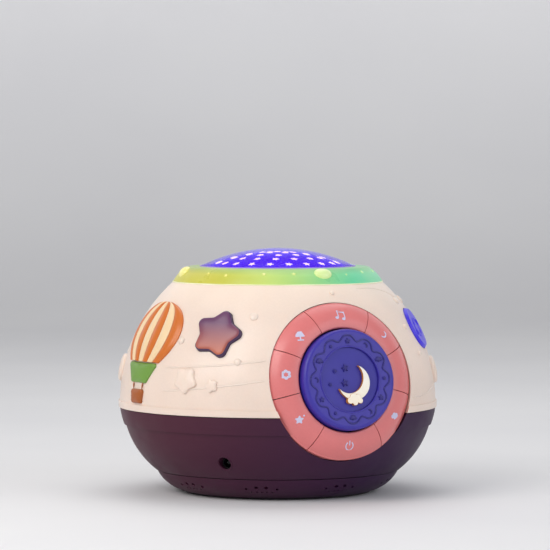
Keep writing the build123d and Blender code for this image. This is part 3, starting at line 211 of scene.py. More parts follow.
# Painted shade on the glow ring's top
RING_TOP_PAINTED_SHADE = srgb(92, 150, 84)
RING_SEAM = srgb(228, 230, 180)
DOME = srgb(80, 8, 226)
# Painted highlight towards the dome's crown
DOME_CROWN_HIGHLIGHT = srgb(96, 70, 236)
WINDOW = srgb(255, 238, 250)
BALLOON_ORANGE = srgb(212, 110, 22)
BALLOON_CREAM = srgb(246, 216, 172)
BALLOON_GREEN = srgb(112, 156, 62)
BALLOON_BROWN = srgb(168, 88, 28)
PRINT_BLUE = srgb(206, 206, 234)
FOOT_RUBBER = srgb(44, 40, 46)
BACKDROP_GLOW = 0.62


# -------------------------------------------------------------- materials


class Shader:
    """A material's node tree with short calls for the nodes used here."""

    def __init__(self, name):
        self.material = bpy.data.materials.new(name)
        self.material.use_nodes = True
        self.tree = self.material.node_tree
        self.surface = self.tree.nodes["Principled BSDF"]
        self.place = self.node("ShaderNodeTexCoord").outputs["Object"]

    def node(self, kind, **settings):
        made = self.tree.nodes.new(kind)
        for key, value in settings.items():
            setattr(made, key, value)
        return made

    def link(self, out, into):
        self.tree.links.new(out, into)

    def noise(self, scale, detail=2.0):
        texture = self.node("ShaderNodeTexNoise")
        texture.inputs["Scale"].default_value = scale
        texture.inputs["Detail"].default_value = detail
        self.link(self.place, texture.inputs["Vector"])
        return texture.outputs["Fac"]

    def spread(self, value, low, high, start=0.3, end=0.7):
        """Maps a value from start..end to low..high."""
        ranged = self.node("ShaderNodeMapRange")
        ranged.inputs["From Min"].default_value = start
        ranged.inputs["From Max"].default_value = end
        ranged.inputs["To Min"].default_value = low
        ranged.inputs["To Max"].default_value = high
        self.link(value, ranged.inputs["Value"])
        return ranged.outputs["Result"]

    def blend(self, factor, first, second):
        """Mixes two colours, or colour outputs, by a factor."""
        mix = self.node("ShaderNodeMix", data_type="RGBA")
        self.link(factor, mix.inputs["Factor"])
        for colour, socket in ((first, mix.inputs["A"]), (second, mix.inputs["B"])):
            if isinstance(colour, tuple):
                socket.default_value = colour
            else:
                self.link(colour, socket)
        return mix.outputs["Result"]

    def axis(self, name):
        split = self.node("ShaderNodeSeparateXYZ")
        self.link(self.place, split.inputs[0])
        return split.outputs[name]

    def along(self, name, low, high, start, end):
        """Maps a place from start to end along an axis, in metres, to low..high."""
        return self.spread(self.axis(name), low, high, start, end)

    def set(self, name, value):
        self.surface.inputs[name].default_value = value

    def paint(self, tone, glow=None):
        """Gives the surface its colour, which also shines at a strength."""
        self.link(tone, self.surface.inputs["Base Color"])
        if glow is not None:
            self.link(tone, self.surface.inputs["Emission Color"])
            self.set("Emission Strength", glow)

    def gloss(self, scale, detail, low, high):
        """Uneven gloss between two roughnesses."""
        self.link(self.spread(self.noise(scale, detail), low, high), self.surface.inputs["Roughness"])

    def bump(self, scale, strength, distance):
        """Fine moulded texture."""
        bump = self.node("ShaderNodeBump")
        bump.inputs["Strength"].default_value = strength
        bump.inputs["Distance"].default_value = distance
        self.link(self.noise(scale, 3.0), bump.inputs["Height"])
        self.link(bump.outputs["Normal"], self.surface.inputs["Normal"])


def shade(colour, factor):
    """A colour made lighter or darker by a factor."""
    return (*[min(1.0, part * factor) for part in colour[:3]], 1.0)


def moulded(name, colour, second=None, rough=0.38, grain=1400.0, grain_strength=0.25, coat=0.0):
    """Injection-moulded plastic: faint mottling, a fine spark-eroded grain and uneven gloss."""
    shader = Shader(name)
    cloud = shader.noise(22.0)
    light = shade(colour, 1.05)
    dark = shade(second or colour, 0.94 if second is None else 1.0)
    tone = shader.blend(shader.spread(cloud, 0.0, 1.0), light, dark)
    speck = shader.noise(900.0, 1.0)
    tone = shader.blend(shader.spread(speck, 0.0, 0.06), tone, shade(colour, 0.6))
    shader.paint(tone)
    shader.gloss(60.0, 4.0, rough - 0.05, rough + 0.07)
    shader.set("Coat Weight", coat)
    shader.set("Coat Roughness", 0.15)
    shader.bump(grain, grain_strength, 0.00004)
    return shader


def cream_material():
    """The shell: thin cream plastic, with the glow ring's light painted on faintly near it."""
    shader = moulded("cream_plastic", CREAM, rough=0.34, grain=1600.0, grain_strength=0.18, coat=0.15)
    surface = shader.surface
    shader.set("Subsurface Weight", 0.18)
    shader.set("Subsurface Radius", (0.006, 0.004, 0.003))
    shader.set("Subsurface Scale", 0.6)
    # Painted light: a faint glow near the ring, warm on the left and pale green on the right
    height = shader.along("Z", 0.0, 1.0, 0.096, 0.1145)
    side = shader.along("X", 0.0, 1.0, -0.05, 0.05)
    tint = shader.blend(side, srgb(255, 236, 170), srgb(206, 240, 220))
    glow = shader.blend(height, BLACK, tint)
    shader.link(glow, surface.inputs["Emission Color"])
    shader.set("Emission Strength", 0.06)
    return shader.material


def ring_material():
    """Translucent ring lit from below, from yellow on the left to green on the right, with painted shade on
    its top.
    """
    shader = Shader("glow_ring_plastic")
    left = shader.along("X", 0.0, 1.0, -0.05, -0.028)
    right = shader.along("X", 0.0, 1.0, -0.030, 0.020)
    tone = shader.blend(left, RING_LEFT, RING_MIDDLE)
    tone = shader.blend(right, tone, RING_RIGHT)
    # Painted shade: the ring's top turns a dull green, away from the light below
    top = shader.along("Z", 0.0, 0.55, 0.1178, 0.1208)
    tone = shader.blend(top, tone, RING_TOP_PAINTED_SHADE)
    patch = shader.spread(shader.noise(45.0, 3.0), 0.0, 0.2)
    tone = shader.blend(patch, tone, srgb(226, 234, 160))
    shader.paint(tone, glow=0.14)
    shader.gloss(80.0, 3.0, 0.26, 0.38)
    shader.set("Subsurface Weight", 0.2)
    shader.set("Subsurface Radius", (0.006, 0.006, 0.004))
    shader.bump(1300.0, 0.2, 0.00004)
    return shader.material


def dome_material():
    """Clear violet-tinted cover, glossy, with a painted highlight that pales it towards its crown."""
    shader = Shader("dome_clear")
    # Painted highlight: the dome turns paler towards its crown
    height = shader.along("Z", 0.0, 1.0, 0.1262, 0.1304)
    tone = shader.blend(height, DOME, DOME_CROWN_HIGHLIGHT)
    smear = shader.spread(shader.noise(30.0, 4.0), 0.0, 0.12)
    tone = shader.blend(smear, tone, srgb(110, 56, 250))
    shader.paint(tone)
    shader.gloss(120.0, 4.0, 0.05, 0.12)
    shader.link(tone, shader.surface.inputs["Emission Color"])
    shader.set("Emission Strength", 0.16)
    shader.set("Alpha", 0.45)
    shader.set("Specular IOR Level", 0.05)
    shader.set("Coat Weight", 0.02)
    return shader.material


def mask_material():
    """Violet mask, lit through, paler towards the crown."""
    shader = Shader("star_mask_violet")
    height = shader.along("Z", 0.0, 1.0, 0.1175, 0.1275)
    tone = shader.blend(height, srgb(64, 8, 226), srgb(84, 34, 236))
    patch = shader.spread(shader.noise(40.0, 3.0), 0.0, 0.4)
    tone = shader.blend(patch, tone, srgb(40, 8, 190))
    shader.paint(tone, glow=0.34)
    shader.set("Specular IOR Level", 0.03)
    shader.gloss(90.0, 3.0, 0.38, 0.5)
    shader.bump(1500.0, 0.2, 0.00003)
    return shader.material


def bead_material():
    """Pearly oval beads, a paler shade of the ring they stand on."""
    shader = Shader("bead_plastic")
    side = shader.along("X", 0.0, 1.0, -0.05, 0.03)
    tone = shader.blend(side, srgb(236, 226, 110), srgb(176, 232, 160))
    patch = shader.spread(shader.noise(90.0, 2.0), 0.0, 0.35)
    tone = shader.blend(patch, tone, srgb(244, 246, 206))
    shader.paint(tone, glow=0.15)
    shader.gloss(70.0, 2.0, 0.18, 0.28)
    shader.set("Coat Weight", 0.4)
    return shader.material


def window_material():
    """The star windows' lenses, bright with the light behind them."""
    shader = Shader("window_film")
    patch = shader.spread(shader.noise(140.0, 2.0), 0.0, 1.0)
    tone = shader.blend(patch, WINDOW, srgb(255, 214, 244))
    shader.paint(tone, glow=3.2)
    shader.set("Roughness", 0.5)
    return shader.material


def seam_material():
    """The bright line where the ring's light leaks over the shell's edge."""
    shader = Shader("ring_seam_light")
    patch = shader.spread(shader.noise(60.0, 2.0), 0.0, 1.0)
    tone = shader.blend(patch, RING_SEAM, srgb(250, 250, 220))
    shader.paint(tone, glow=0.08)
    shader.set("Roughness", 0.4)
    return shader.material


def star_material():
    """The star button: mauve plastic, with warm light painted towards its lower part."""
    shader = moulded("star_button_plastic", STAR_TOP, rough=0.36, grain=1500.0, coat=0.2)
    # Painted warm light: the face turns orange towards its bottom
    low = shader.along("Z", 1.0, 0.0, 0.076, 0.094)
    mottled = shader.surface.inputs["Base Color"].links[0].from_socket
    tone = shader.blend(low, mottled, STAR_PAINTED_WARM_LIGHT)
    shader.paint(tone)
    return shader.material


def bowl_material():
    """The purple bowl, with warm light painted on its left."""
    shader = moulded("purple_bowl_plastic", BOWL, rough=0.5, grain=1400.0, grain_strength=0.3)
    shader.set("Specular IOR Level", 0.25)
    # Painted warm light: the bowl's colour turns warmer towards its left
    side = shader.along("X", 0.75, 0.0, -0.085, 0.02)
    mottled = shader.surface.inputs["Base Color"].links[0].from_socket
    tone = shader.blend(side, mottled, BOWL_PAINTED_WARM_LIGHT)
    shader.paint(tone)
    return shader.material


def moon_material():
    """Cream moon with a golden lower edge."""
    shader = moulded("moon_plastic", MOON, rough=0.28, grain=1800.0, grain_strength=0.12, coat=0.3)
    low = shader.along("Z", 0.55, 0.0, 0.050, 0.066)
    mottled = shader.surface.inputs["Base Color"].links[0].from_socket
    tone = shader.blend(low, mottled, srgb(255, 228, 184))
    shader.paint(tone)
    return shader.material


def metal_material(name, colour, rough):
    """Turned or brushed metal with fine streaks."""
    shader = Shader(name)
    streak = shader.spread(shader.noise(700.0, 4.0), 0.0, 1.0)
    tone = shader.blend(streak, shade(colour, 1.08), shade(colour, 0.85))
    shader.paint(tone)
    shader.gloss(300.0, 2.0, rough - 0.08, rough + 0.08)
    shader.set("Metallic", 1.0)
    return shader.material


MATERIALS = {
    "cream_shell": cream_material(),
    "purple_shell": bowl_material(),
    "grey_rubber": moulded("foot_rubber", FOOT_RUBBER, rough=0.75, grain=2200.0, grain_strength=0.5).material,
    "glow_ring": ring_material(),
    "clear_dome": dome_material(),
    "star_mask": mask_material(),
    "white_inner": moulded("white_inner_plastic", srgb(226, 226, 222), rough=0.5).material,
    "dark_inner": moulded("dark_inner_plastic", srgb(46, 40, 52), rough=0.55).material,
    "circuit_board": moulded("green_board", srgb(24, 96, 58), srgb(30, 120, 70), rough=0.4).material,
    "switch_black": moulded("black_switch_plastic", srgb(28, 28, 32), rough=0.5).material,
    "led_lens": moulded("led_lens_plastic", srgb(236, 236, 230), rough=0.2).material,
    "bright_cup": metal_material("bright_cup_metal", srgb(226, 226, 232), 0.15),
    "motor_steel": metal_material("motor_steel_metal", srgb(168, 170, 176), 0.35),
    "screw_steel": metal_material("screw_steel_metal", srgb(186, 186, 190), 0.3),
    "cell_wrap": moulded("cell_wrap_film", srgb(40, 92, 170), rough=0.25).material,
    "speaker_paper": moulded("speaker_paper", srgb(34, 34, 34), rough=0.8).material,
    "lead_rubber": moulded("lead_rubber", srgb(160, 44, 40), rough=0.6).material,
    "key_pink": moulded("coral_key_plastic", KEY_CORAL, rough=0.34, grain=1500.0, coat=0.25).material,
    "pad_purple": moulded("pad_violet_plastic", PAD_VIOLET, rough=0.4, grain=1400.0).material,
    "dish_purple": moulded("dish_violet_plastic", DISH_VIOLET, rough=0.42, grain=1400.0).material,
    "moon_cream": moon_material(),
    "star_purple": star_material(),
    "planet_purple": moulded("planet_violet_plastic", PLANET, rough=0.36, coat=0.2).material,
    "balloon_orange": moulded("balloon_orange_plastic", BALLOON_ORANGE, rough=0.36, coat=0.2).material,
    "balloon_cream": moulded("balloon_cream_plastic", BALLOON_CREAM, rough=0.36, coat=0.2).material,
    "balloon_green": moulded("balloon_green_plastic", BALLOON_GREEN, rough=0.4, coat=0.1).material,
    "balloon_brown": moulded("balloon_brown_plastic", BALLOON_BROWN, rough=0.4, coat=0.1).material,
}
PRINT_MATERIAL = moulded("pale_print", PRINT_BLUE, rough=0.5, grain=2500.0).material
BEAD_MATERIAL = bead_material()
FILM_MATERIAL = window_material()
# Painted shade for the star button's rim
STAR_RIM_SHADE_MATERIAL = moulded("star_rim_painted_shade", STAR_RIM_SHADE, rough=0.4).material
# Painted warm light and shade for the side walls of the moon and cloud
MOON_SIDE_LIGHT_SHADE_MATERIAL = moulded("moon_side_painted_light_shade", MOON_SIDE_LIGHT_SHADE, rough=0.35).material
PAD_LINE_MATERIAL = moulded("pad_line_plastic", PAD_LINE, rough=0.4).material
SEAM_MATERIAL = seam_material()
# Painted highlight: a pale lilac for the line of light along the dome's edge
EDGE_MATERIAL = moulded("dome_edge_painted_highlight", srgb(168, 134, 236), rough=0.3).material


def dress_cad_nodes():
    """Gives each CAD node the material of its slot."""
    slots = {part["node"]: part["material_slot"] for part in frame["record"]["subparts"]}
    for name, node in frame["nodes"].items():
        node.data.materials.clear()
        node.data.materials.append(MATERIALS[slots[name]])


dress_cad_nodes()


# ------------------------------------------------------- places on the lamp


def around(radius, azimuth, z):
    """A point by its distance from Z, its azimuth from the panel in degrees and its height."""
    turn = math.radians(azimuth - 90)
    return Vector((radius * math.cos(turn), radius * math.sin(turn), z))


def on_skin(azimuth, z):
    """Wraps flat x, y, h in mm onto the skin around a spot."""
    rise = math.asin((z - SKIN_CENTER_Z) / SKIN_RADIUS)

    def place(x, y, h):
        polar = rise + y / SKIN_RADIUS
        ring = SKIN_CENTER_R + (SKIN_RADIUS + h) * math.cos(polar)
        height = SKIN_CENTER_Z + (SKIN_RADIUS + h) * math.sin(polar)
        return around(ring, azimuth + math.degrees(x / ring), height) * MM

    return place


def square_to_skin(azimuth, z):
    """Places x, y, h on the flat plane that lies on the skin at a spot."""
    turn = math.radians(azimuth - 90)
    rise = (z - SKIN_CENTER_Z) / SKIN_RADIUS
    flat = math.sqrt(1 - rise * rise)
    out = Vector((flat * math.cos(turn), flat * math.sin(turn), rise))
    across = Vector((-math.sin(turn), math.cos(turn), 0))
    up = out.cross(across)
    origin = around(SKIN_CENTER_R + SKIN_RADIUS * flat, azimuth, z)

    def place(x, y, h):
        return (origin + across * x + up * y + out * h) * MM

    return place


def on_panel(base=0.0, center=(0.0, 0.0)):
    """Places x, y, h on the control panel, from a height along its axis."""

    def place(x, y, h):
        spot = PANEL_CENTER + PANEL_RIGHT * (center[0] + x) + PANEL_UP * (center[1] + y)
        return (spot + PANEL_NORMAL * (base + h)) * MM

    return place


def arc_through(first, second, third):
    """Centre and radius of the circle through three points."""
    ax, ay = first
    bx, by = second
    cx, cy = third
    turn = 2 * (ax * (by - cy) + bx * (cy - ay) + cx * (ay - by))
    a2, b2, c2 = ax * ax + ay * ay, bx * bx + by * by, cx * cx + cy * cy
    ux = (a2 * (by - cy) + b2 * (cy - ay) + c2 * (ay - by)) / turn
    uy = (a2 * (cx - bx) + b2 * (ax - cx) + c2 * (bx - ax)) / turn
    return ux, uy, math.hypot(ax - ux, ay - uy)


def on_key(angle, radius=SYMBOL_RING):
    """Places upright x, y, h on a key's domed top, around a spot on its ring."""
    center_r, center_h, bend = arc_through(*KEY_CROWN)
    x0 = radius * math.sin(math.radians(angle))
    y0 = radius * math.cos(math.radians(angle))

    def place(x, y, h):
        x, y = x * SYMBOL_SCALE, y * SYMBOL_SCALE
        reach = math.hypot(x0 + x, y0 + y)
        top = center_h + math.sqrt(bend * bend - (reach - center_r) ** 2)
        return on_panel()(x0 + x, y0 + y, top + h)

    return place


# ----------------------------------------------------------------- outlines


def ellipse(a, b, x=0.0, y=0.0, count=32):
    """Corners of an ellipse."""
    turns = [2 * math.pi * step / count for step in range(count)]
    return [(x + a * math.cos(t), y + b * math.sin(t)) for t in turns]


def star(outer, inner, lean=0.0, points=5):
    """Corners of a star whose first tip points up, turned by lean degrees."""
    corners = []
    for step in range(2 * points):
        reach = outer if step % 2 == 0 else inner
        turn = math.radians(90 + lean + step * 180 / points)
        corners.append((reach * math.cos(turn), reach * math.sin(turn)))
    return corners


def rounded(corners, radius, steps=5):
    """The same outline with its corners rounded."""
    outline = []
    count = len(corners)
    for index in range(count):
        corner = Vector(corners[index])
        before = (Vector(corners[index - 1]) - corner).normalized()
        after = (Vector(corners[(index + 1) % count]) - corner).normalized()
        half = before.angle(after) / 2
        cut = radius / math.tan(half)
        center = corner + (before + after).normalized() * (radius / math.sin(half))
        start = corner + before * cut - center
        end = corner + after * cut - center
        for step in range(steps + 1):
            share = step / steps
            arm = start * (1 - share) + end * share
            spot = center + arm.normalized() * radius
            outline.append((spot.x, spot.y))
    return outline


def crescent(radius, bite, shift, steps=22):
    """A moon: an outer circle with a smaller circle, moved by shift, bitten out of it."""
    dx, dy = shift
    gap = math.hypot(dx, dy)
    facing = math.atan2(dy, dx)
    along = (gap * gap + radius * radius - bite * bite) / (2 * gap)
    open_half = math.acos(along / radius)
    bite_half = math.acos((gap - along) / bite)
    outline = []
    for step in range(steps + 1):
        turn = facing + open_half + (2 * math.pi - 2 * open_half) * step / steps
        outline.append((radius * math.cos(turn), radius * math.sin(turn)))
    for step in range(1, steps):
        turn = facing + math.pi + bite_half - 2 * bite_half * step / steps
        outline.append((dx + bite * math.cos(turn), dy + bite * math.sin(turn)))
    return outline


def moved(outline, x, y, scale=1.0):
    return [(x + px * scale, y + py * scale) for px, py in outline]


def cloud_outline(scale=1.0):
    """A plain cloud with scalloped lobes above a flatter base."""
    lobes = ((-4.6, -0.8, 3.2), (-1.4, 2.2, 3.6), (3.4, 1.8, 3.4), (5.8, -1.2, 2.8), (0.4, -2.6, 3.0))
    outline = []
    for step in range(60):
        turn = 2 * math.pi * step / 60
        aim = Vector((math.cos(turn), math.sin(turn)))
        reach = 0.0
        for x, y, radius in lobes:
            middle = Vector((x, y))
            along = middle.dot(aim)
            off = middle.length_squared - along * along
            if off < radius * radius:
                reach = max(reach, along + math.sqrt(radius * radius - off))
        outline.append((aim.x * reach * scale, aim.y * reach * scale))
    return outline


# ------------------------------------------------------------- mesh pieces


def finish_piece(name, bm, body, slot, material, sharp=40.0, edge=None):
    """Turns a bmesh into a smooth-shaded object that rides on a body.

    With edge, the faces that stand square to the panel take that second material.
    """
    bmesh.ops.recalc_face_normals(bm, faces=bm.faces)
    mesh = bpy.data.meshes.new(name)
    bm.to_mesh(mesh)
    bm.free()
    mesh.shade_smooth()
    mesh.set_sharp_from_angle(angle=math.radians(sharp))
    mesh.materials.append(material)
    if edge:
        mesh.materials.append(edge)
        for face in mesh.polygons:
            if abs(face.normal.dot(PANEL_NORMAL)) < EDGE_FACE_LIMIT:
                face.material_index = 1
    piece = bpy.data.objects.new(name, mesh)
    bpy.context.scene.collection.objects.link(piece)
    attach(piece, body)
    return piece


def add_puff(bm, place, outline, low, edge, crown, rings=9, power=2.6, center=(0.0, 0.0)):
    """A cushion over an outline: straight sides up to edge, then a soft dome up to crown."""
    cx, cy = center
    loops = [[bm.verts.new(place(x, y, low)) for x, y in outline]]
    for ring in range(rings):
        turn = math.pi / 2 * ring / rings
        share = math.cos(turn) ** (2 / power)
        height = edge + (crown - edge) * math.sin(turn) ** (2 / power)
        loops.append(
            [bm.verts.new(place(cx + (x - cx) * share, cy + (y - cy) * share, height)) for x, y in outline]
        )
    count = len(outline)
    for below, above in zip(loops, loops[1:]):
        for index in range(count):
            after = (index + 1) % count
            bm.faces.new((below[index], below[after], above[after], above[index]))
    peak = bm.verts.new(place(cx, cy, crown))
    for index in range(count):
        bm.faces.new((loops[-1][index], loops[-1][(index + 1) % count], peak))
    bm.faces.new(list(reversed(loops[0])))


def add_tube(bm, points, radius, closed=False, sides=8):
    """A round bead of plastic along a line of points, in metres."""
    count = len(points)
    rings = []
    for index, point in enumerate(points):
        before = points[index - 1] if closed or index > 0 else point
        after = points[(index + 1) % count] if closed or index < count - 1 else point
        along = (after - before).normalized()
        side = along.cross(Vector((0.31, 0.53, 0.79))).normalized()
        up = along.cross(side)
        taper = 1.0 if closed else min(1.0, 0.15 + 1.2 * min(index, count - 1 - index) / 4)
        ring = []
        for step in range(sides):
            turn = 2 * math.pi * step / sides
            arm = (side * math.cos(turn) + up * math.sin(turn)) * radius * taper * MM
            ring.append(bm.verts.new(point + arm))
        rings.append(ring)
    pairs = list(zip(rings, rings[1:]))
    if closed:
        pairs.append((rings[-1], rings[0]))
    for first, second in pairs:
        for step in range(sides):
            after = (step + 1) % sides
            bm.faces.new((first[step], first[after], second[after], second[step]))
    if not closed:
        bm.faces.new(rings[0])
        bm.faces.new(rings[-1])


def add_ribbon(bm, place, points, width, low, high, closed=False):
    """A flat raised band along a line of flat points."""
    count = len(points)
    sides = []
    for index, (x, y) in enumerate(points):
        before = Vector(points[index - 1] if closed or index > 0 else (x, y))
        after = Vector(points[(index + 1) % count] if closed or index < count - 1 else (x, y))
        along = (after - before).normalized()
        across = Vector((-along.y, along.x)) * width / 2
        left, right = Vector((x, y)) + across, Vector((x, y)) - across
        corners = [(left, low), (left, high), (right, high), (right, low)]
        sides.append([bm.verts.new(place(spot.x, spot.y, h)) for spot, h in corners])
    pairs = list(zip(sides, sides[1:]))
    if closed:
        pairs.append((sides[-1], sides[0]))
    for first, second in pairs:
        for step in range(4):
            after = (step + 1) % 4
            bm.faces.new((first[step], first[after], second[after], second[step]))
    if not closed:
        bm.faces.new(sides[0])
        bm.faces.new(list(reversed(sides[-1])))


def arc_points(radius, start, end, x=0.0, y=0.0, steps=16):
    """Points on an arc, angles in degrees from +x."""
    points = []
    for step in range(steps + 1):
        turn = math.radians(start + (end - start) * step / steps)
        points.append((x + radius * math.cos(turn), y + radius * math.sin(turn)))
    return points


# --------------------------------------------------------- control panel


def key_symbols():
    """Pale printed symbols, one set on each key that has one."""

    def patch(bm, place, outline, x=0.0, y=0.0):
        low, edge, crown = PRINT_LOW - 0.1, PRINT_HIGH, PRINT_HIGH + 0.02
        add_puff(bm, place, outline, low, edge, crown, rings=4, power=2.0, center=(x, y))

    def band(bm, place, points, width, closed=False):
        add_ribbon(bm, place, points, width, PRINT_LOW, PRINT_HIGH, closed)

    def stroke(bm, place, start, end, width):
        points = [tuple(Vector(start).lerp(Vector(end), step / 6)) for step in range(7)]
        band(bm, place, points, width)

    def new_symbol(name, angle, draw):
        bm = bmesh.new()
        draw(bm, on_key(angle))
        finish_piece(name + "_print", bm, name, "key_pink", PRINT_MATERIAL, sharp=30)

    def tune(bm, place):
        for x in (-1.8, 1.4):
            y = -1.5 - 0.2 * x
            patch(bm, place, ellipse(0.85, 0.65, x - 0.5, y), x - 0.5, y)
            stroke(bm, place, (x + 0.2, y), (x + 0.2, y + 3.1), 0.45)
        stroke(bm, place, (-1.8, 1.95), (1.8, 1.25), 0.75)

    def lamp(bm, place):
        patch(bm, place, rounded([(-2.2, -0.6), (2.2, -0.6), (1.0, 1.9), (-1.0, 1.9)], 0.3))
        stroke(bm, place, (0.0, -0.5), (0.0, -1.9), 0.55)
        stroke(bm, place, (-1.4, -2.1), (1.4, -2.1), 0.55)

    def flower(bm, place):
        rim = []
        for step in range(48):
            turn = 2 * math.pi * step / 48
            reach = 1.55 + 0.28 * math.cos(6 * turn)
            rim.append((reach * math.sin(turn), reach * math.cos(turn)))
        band(bm, place, rim, 0.95, closed=True)

    def star_mark(bm, place):
        patch(bm, place, rounded(star(2.2, 1.1), 0.25))
        patch(bm, place, ellipse(0.4, 0.4, 2.0, 1.8), 2.0, 1.8)

    def power(bm, place):
        band(bm, place, arc_points(1.8, 125, 415), 0.5)
        stroke(bm, place, (0.0, 0.3), (0.0, 2.3), 0.5)

    def cloud_mark(bm, place):
        patch(bm, place, cloud_outline(0.27))

    def moon_mark(bm, place):
        add_tube(bm, [place(*spot, 0.0) for spot in arc_points(1.5, -150, 60)], 0.42)

    draws = {
        "key_top": tune,
        "key_upper_left": lamp,
        "key_left": flower,
        "key_lower_left": star_mark,
        "key_bottom": power,
        "key_lower_right": cloud_mark,
        "key_upper_right": moon_mark,
    }
    for name, angle in KEYS:
        if name in draws:
            new_symbol(name, angle, draws[name])


def pad_relief():
    """The pad's raised wave with twelve small motifs inside it, and the dish's rim."""
    bm = bmesh.new()
    place = on_panel(PAD_TOP)
    wave = []
    for step in range(240):
        turn = 2 * math.pi * step / 240
        swing = WAVE_SWING * math.cos(WAVE_COUNT * turn) - WAVE_FLATTEN * math.cos(2 * WAVE_COUNT * turn)
        reach = WAVE_RING + swing
        wave.append(place(reach * math.sin(turn), reach * math.cos(turn), -0.02))
    add_tube(bm, wave, 0.5, closed=True)
    for step in range(WAVE_COUNT):
        turn = 2 * math.pi * step / WAVE_COUNT
        x, y = MOTIF_RING * math.sin(turn), MOTIF_RING * math.cos(turn)
        kind = step % 4
        if kind == 0:
            add_puff(bm, place, moved(rounded(star(1.85, 0.95), 0.22), x, y), -0.2, 0.2, 0.85, center=(x, y))
        elif kind == 1:
            add_tube(bm, [place(*spot, 0.1) for spot in arc_points(1.2, -70, 130, x, y)], 0.5)
        elif kind == 2:
            add_puff(bm, place, moved(cloud_outline(0.25), x, y), -0.2, 0.2, 0.8, center=(x, y))
        else:
            add_puff(bm, place, ellipse(0.9, 0.9, x, y, 20), -0.2, 0.2, 0.8, center=(x, y))
    finish_piece("pad_relief", bm, "pad", "pad_purple", PAD_LINE_MATERIAL)
    bm = bmesh.new()
    rim = [place(*spot, -0.05) for spot in ellipse(DISH_RIM_R, DISH_RIM_R, count=96)]
    add_tube(bm, rim, 0.45, closed=True)
    finish_piece("pad_rim", bm, "pad", "pad_purple", MATERIALS["pad_purple"])


def dish_details():
    """Puffy stars and dots in the dish."""
    bm = bmesh.new()
    place = on_panel(DISH_TOP)
    for x, y, lean in DISH_STARS:
        shape = moved(rounded(star(2.4, 1.05, lean), 0.14), x, y)
        add_puff(bm, place, shape, -0.1, 0.3, 1.15, center=(x, y), power=2.0)
    for x, y, size in DISH_DOTS:
        add_puff(bm, place, ellipse(size, size, x, y, 24), -0.1, 0.2, 0.95, center=(x, y), power=2.0)
    finish_piece("dish_stars", bm, "pad", "dish_purple", PAD_LINE_MATERIAL)


def add_rounded_slab(bm, place, shape, high, rounding, steps=5):
    """A flat-topped block with a rounded upper edge; shape gives the outline at an inset."""
    levels = [(0.0, 0.0)]
    for step in range(steps + 1):
        turn = math.pi / 2 * step / steps
        levels.append((rounding * (1 - math.cos(turn)), high - rounding * (1 - math.sin(turn))))
    levels.append((rounding + 0.06, high))
    loops = [[bm.verts.new(place(x, y, h)) for x, y in shape(inset)] for inset, h in levels]
    count = len(loops[0])
    for below, above in zip(loops, loops[1:]):
        for index in range(count):
            after = (index + 1) % count
            bm.faces.new((below[index], below[after], above[after], above[index]))
    cap = bm.faces.new(loops[-1])
    base = bm.faces.new(list(reversed(loops[0])))
    for face in (cap, base):
        face.normal_update()
    bmesh.ops.triangulate(bm, faces=[cap, base])


def moon_and_cloud():
    """The cream moon with a small cloud at its foot, softly rounded, their side walls amber with painted warm
    light and shade.
    """
    place = on_panel(DISH_TOP)

    def moon(inset):
        return moved(crescent(MOON_RADIUS - inset, MOON_BITE + inset, MOON_SHIFT, steps=40), *MOON_SPOT)

    def cloud(inset):
        return moved(cloud_outline(CLOUD_SCALE * (1 - inset / CLOUD_MEAN_R)), *CLOUD_SPOT)

    bm = bmesh.new()
    add_rounded_slab(bm, place, moon, MOON_HEIGHT, 0.3)
    # Side walls take amber: painted warm light and shade
    piece = finish_piece("moon", bm, "pad", "moon_cream", MATERIALS["moon_cream"], edge=MOON_SIDE_LIGHT_SHADE_MATERIAL)
    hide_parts("moon_emblem")
    bm = bmesh.new()
    add_rounded_slab(bm, place, cloud, CLOUD_HEIGHT, 0.4)
    finish_piece("moon_cloud", bm, "pad", "moon_cream", MATERIALS["moon_cream"], edge=MOON_SIDE_LIGHT_SHADE_MATERIAL)


# ------------------------------------------------------------ side buttons


def star_button():
    """The plump star button: a rim in the shell's hole, made darker as painted shade, and a lighter raised
    face.
    """
    place = square_to_skin(*STAR_SPOT)
    outline = rounded(star(STAR_OUTER, STAR_INNER, STAR_LEAN), STAR_CORNER, steps=8)
    bm = bmesh.new()
    add_puff(bm, place, outline, -4.0, 0.5, 1.9, rings=12, power=4.0)
    # The rim's darker plastic is painted shade
    piece = finish_piece("star_button_rim", bm, "star_button", "star_purple", STAR_RIM_SHADE_MATERIAL)
    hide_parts("star_button")
    bm = bmesh.new()
    add_puff(bm, place, moved(outline, 0, 0, 0.955), 0.3, 1.45, 2.6, rings=12, power=2.8)
    finish_piece("star_button_face", bm, "star_button", "star_purple", MATERIALS["star_purple"])


def planet_button():
    """Raised tilted ring and raised circle on the round violet button."""
    place = square_to_skin(*PLANET_SPOT)
    bm = bmesh.new()
    band = []
    for step in range(64):
        turn = 2 * math.pi * step / 64
        x, y = 8.6 * math.cos(turn), 2.9 * math.sin(turn)
        lean = math.radians(24)
        band.append((x * math.cos(lean) - y * math.sin(lean), x * math.sin(lean) + y * math.cos(lean)))
    add_tube(bm, [place(x, y, PLANET_PROUD) for x, y in band], 0.34, closed=True)
    circle = [place(x, y, PLANET_PROUD) for x, y in ellipse(5.4, 5.4, count=64)]
    add_tube(bm, circle, 0.3, closed=True)
    finish_piece("planet_relief", bm, "planet_button", "planet_purple", MATERIALS["planet_purple"])


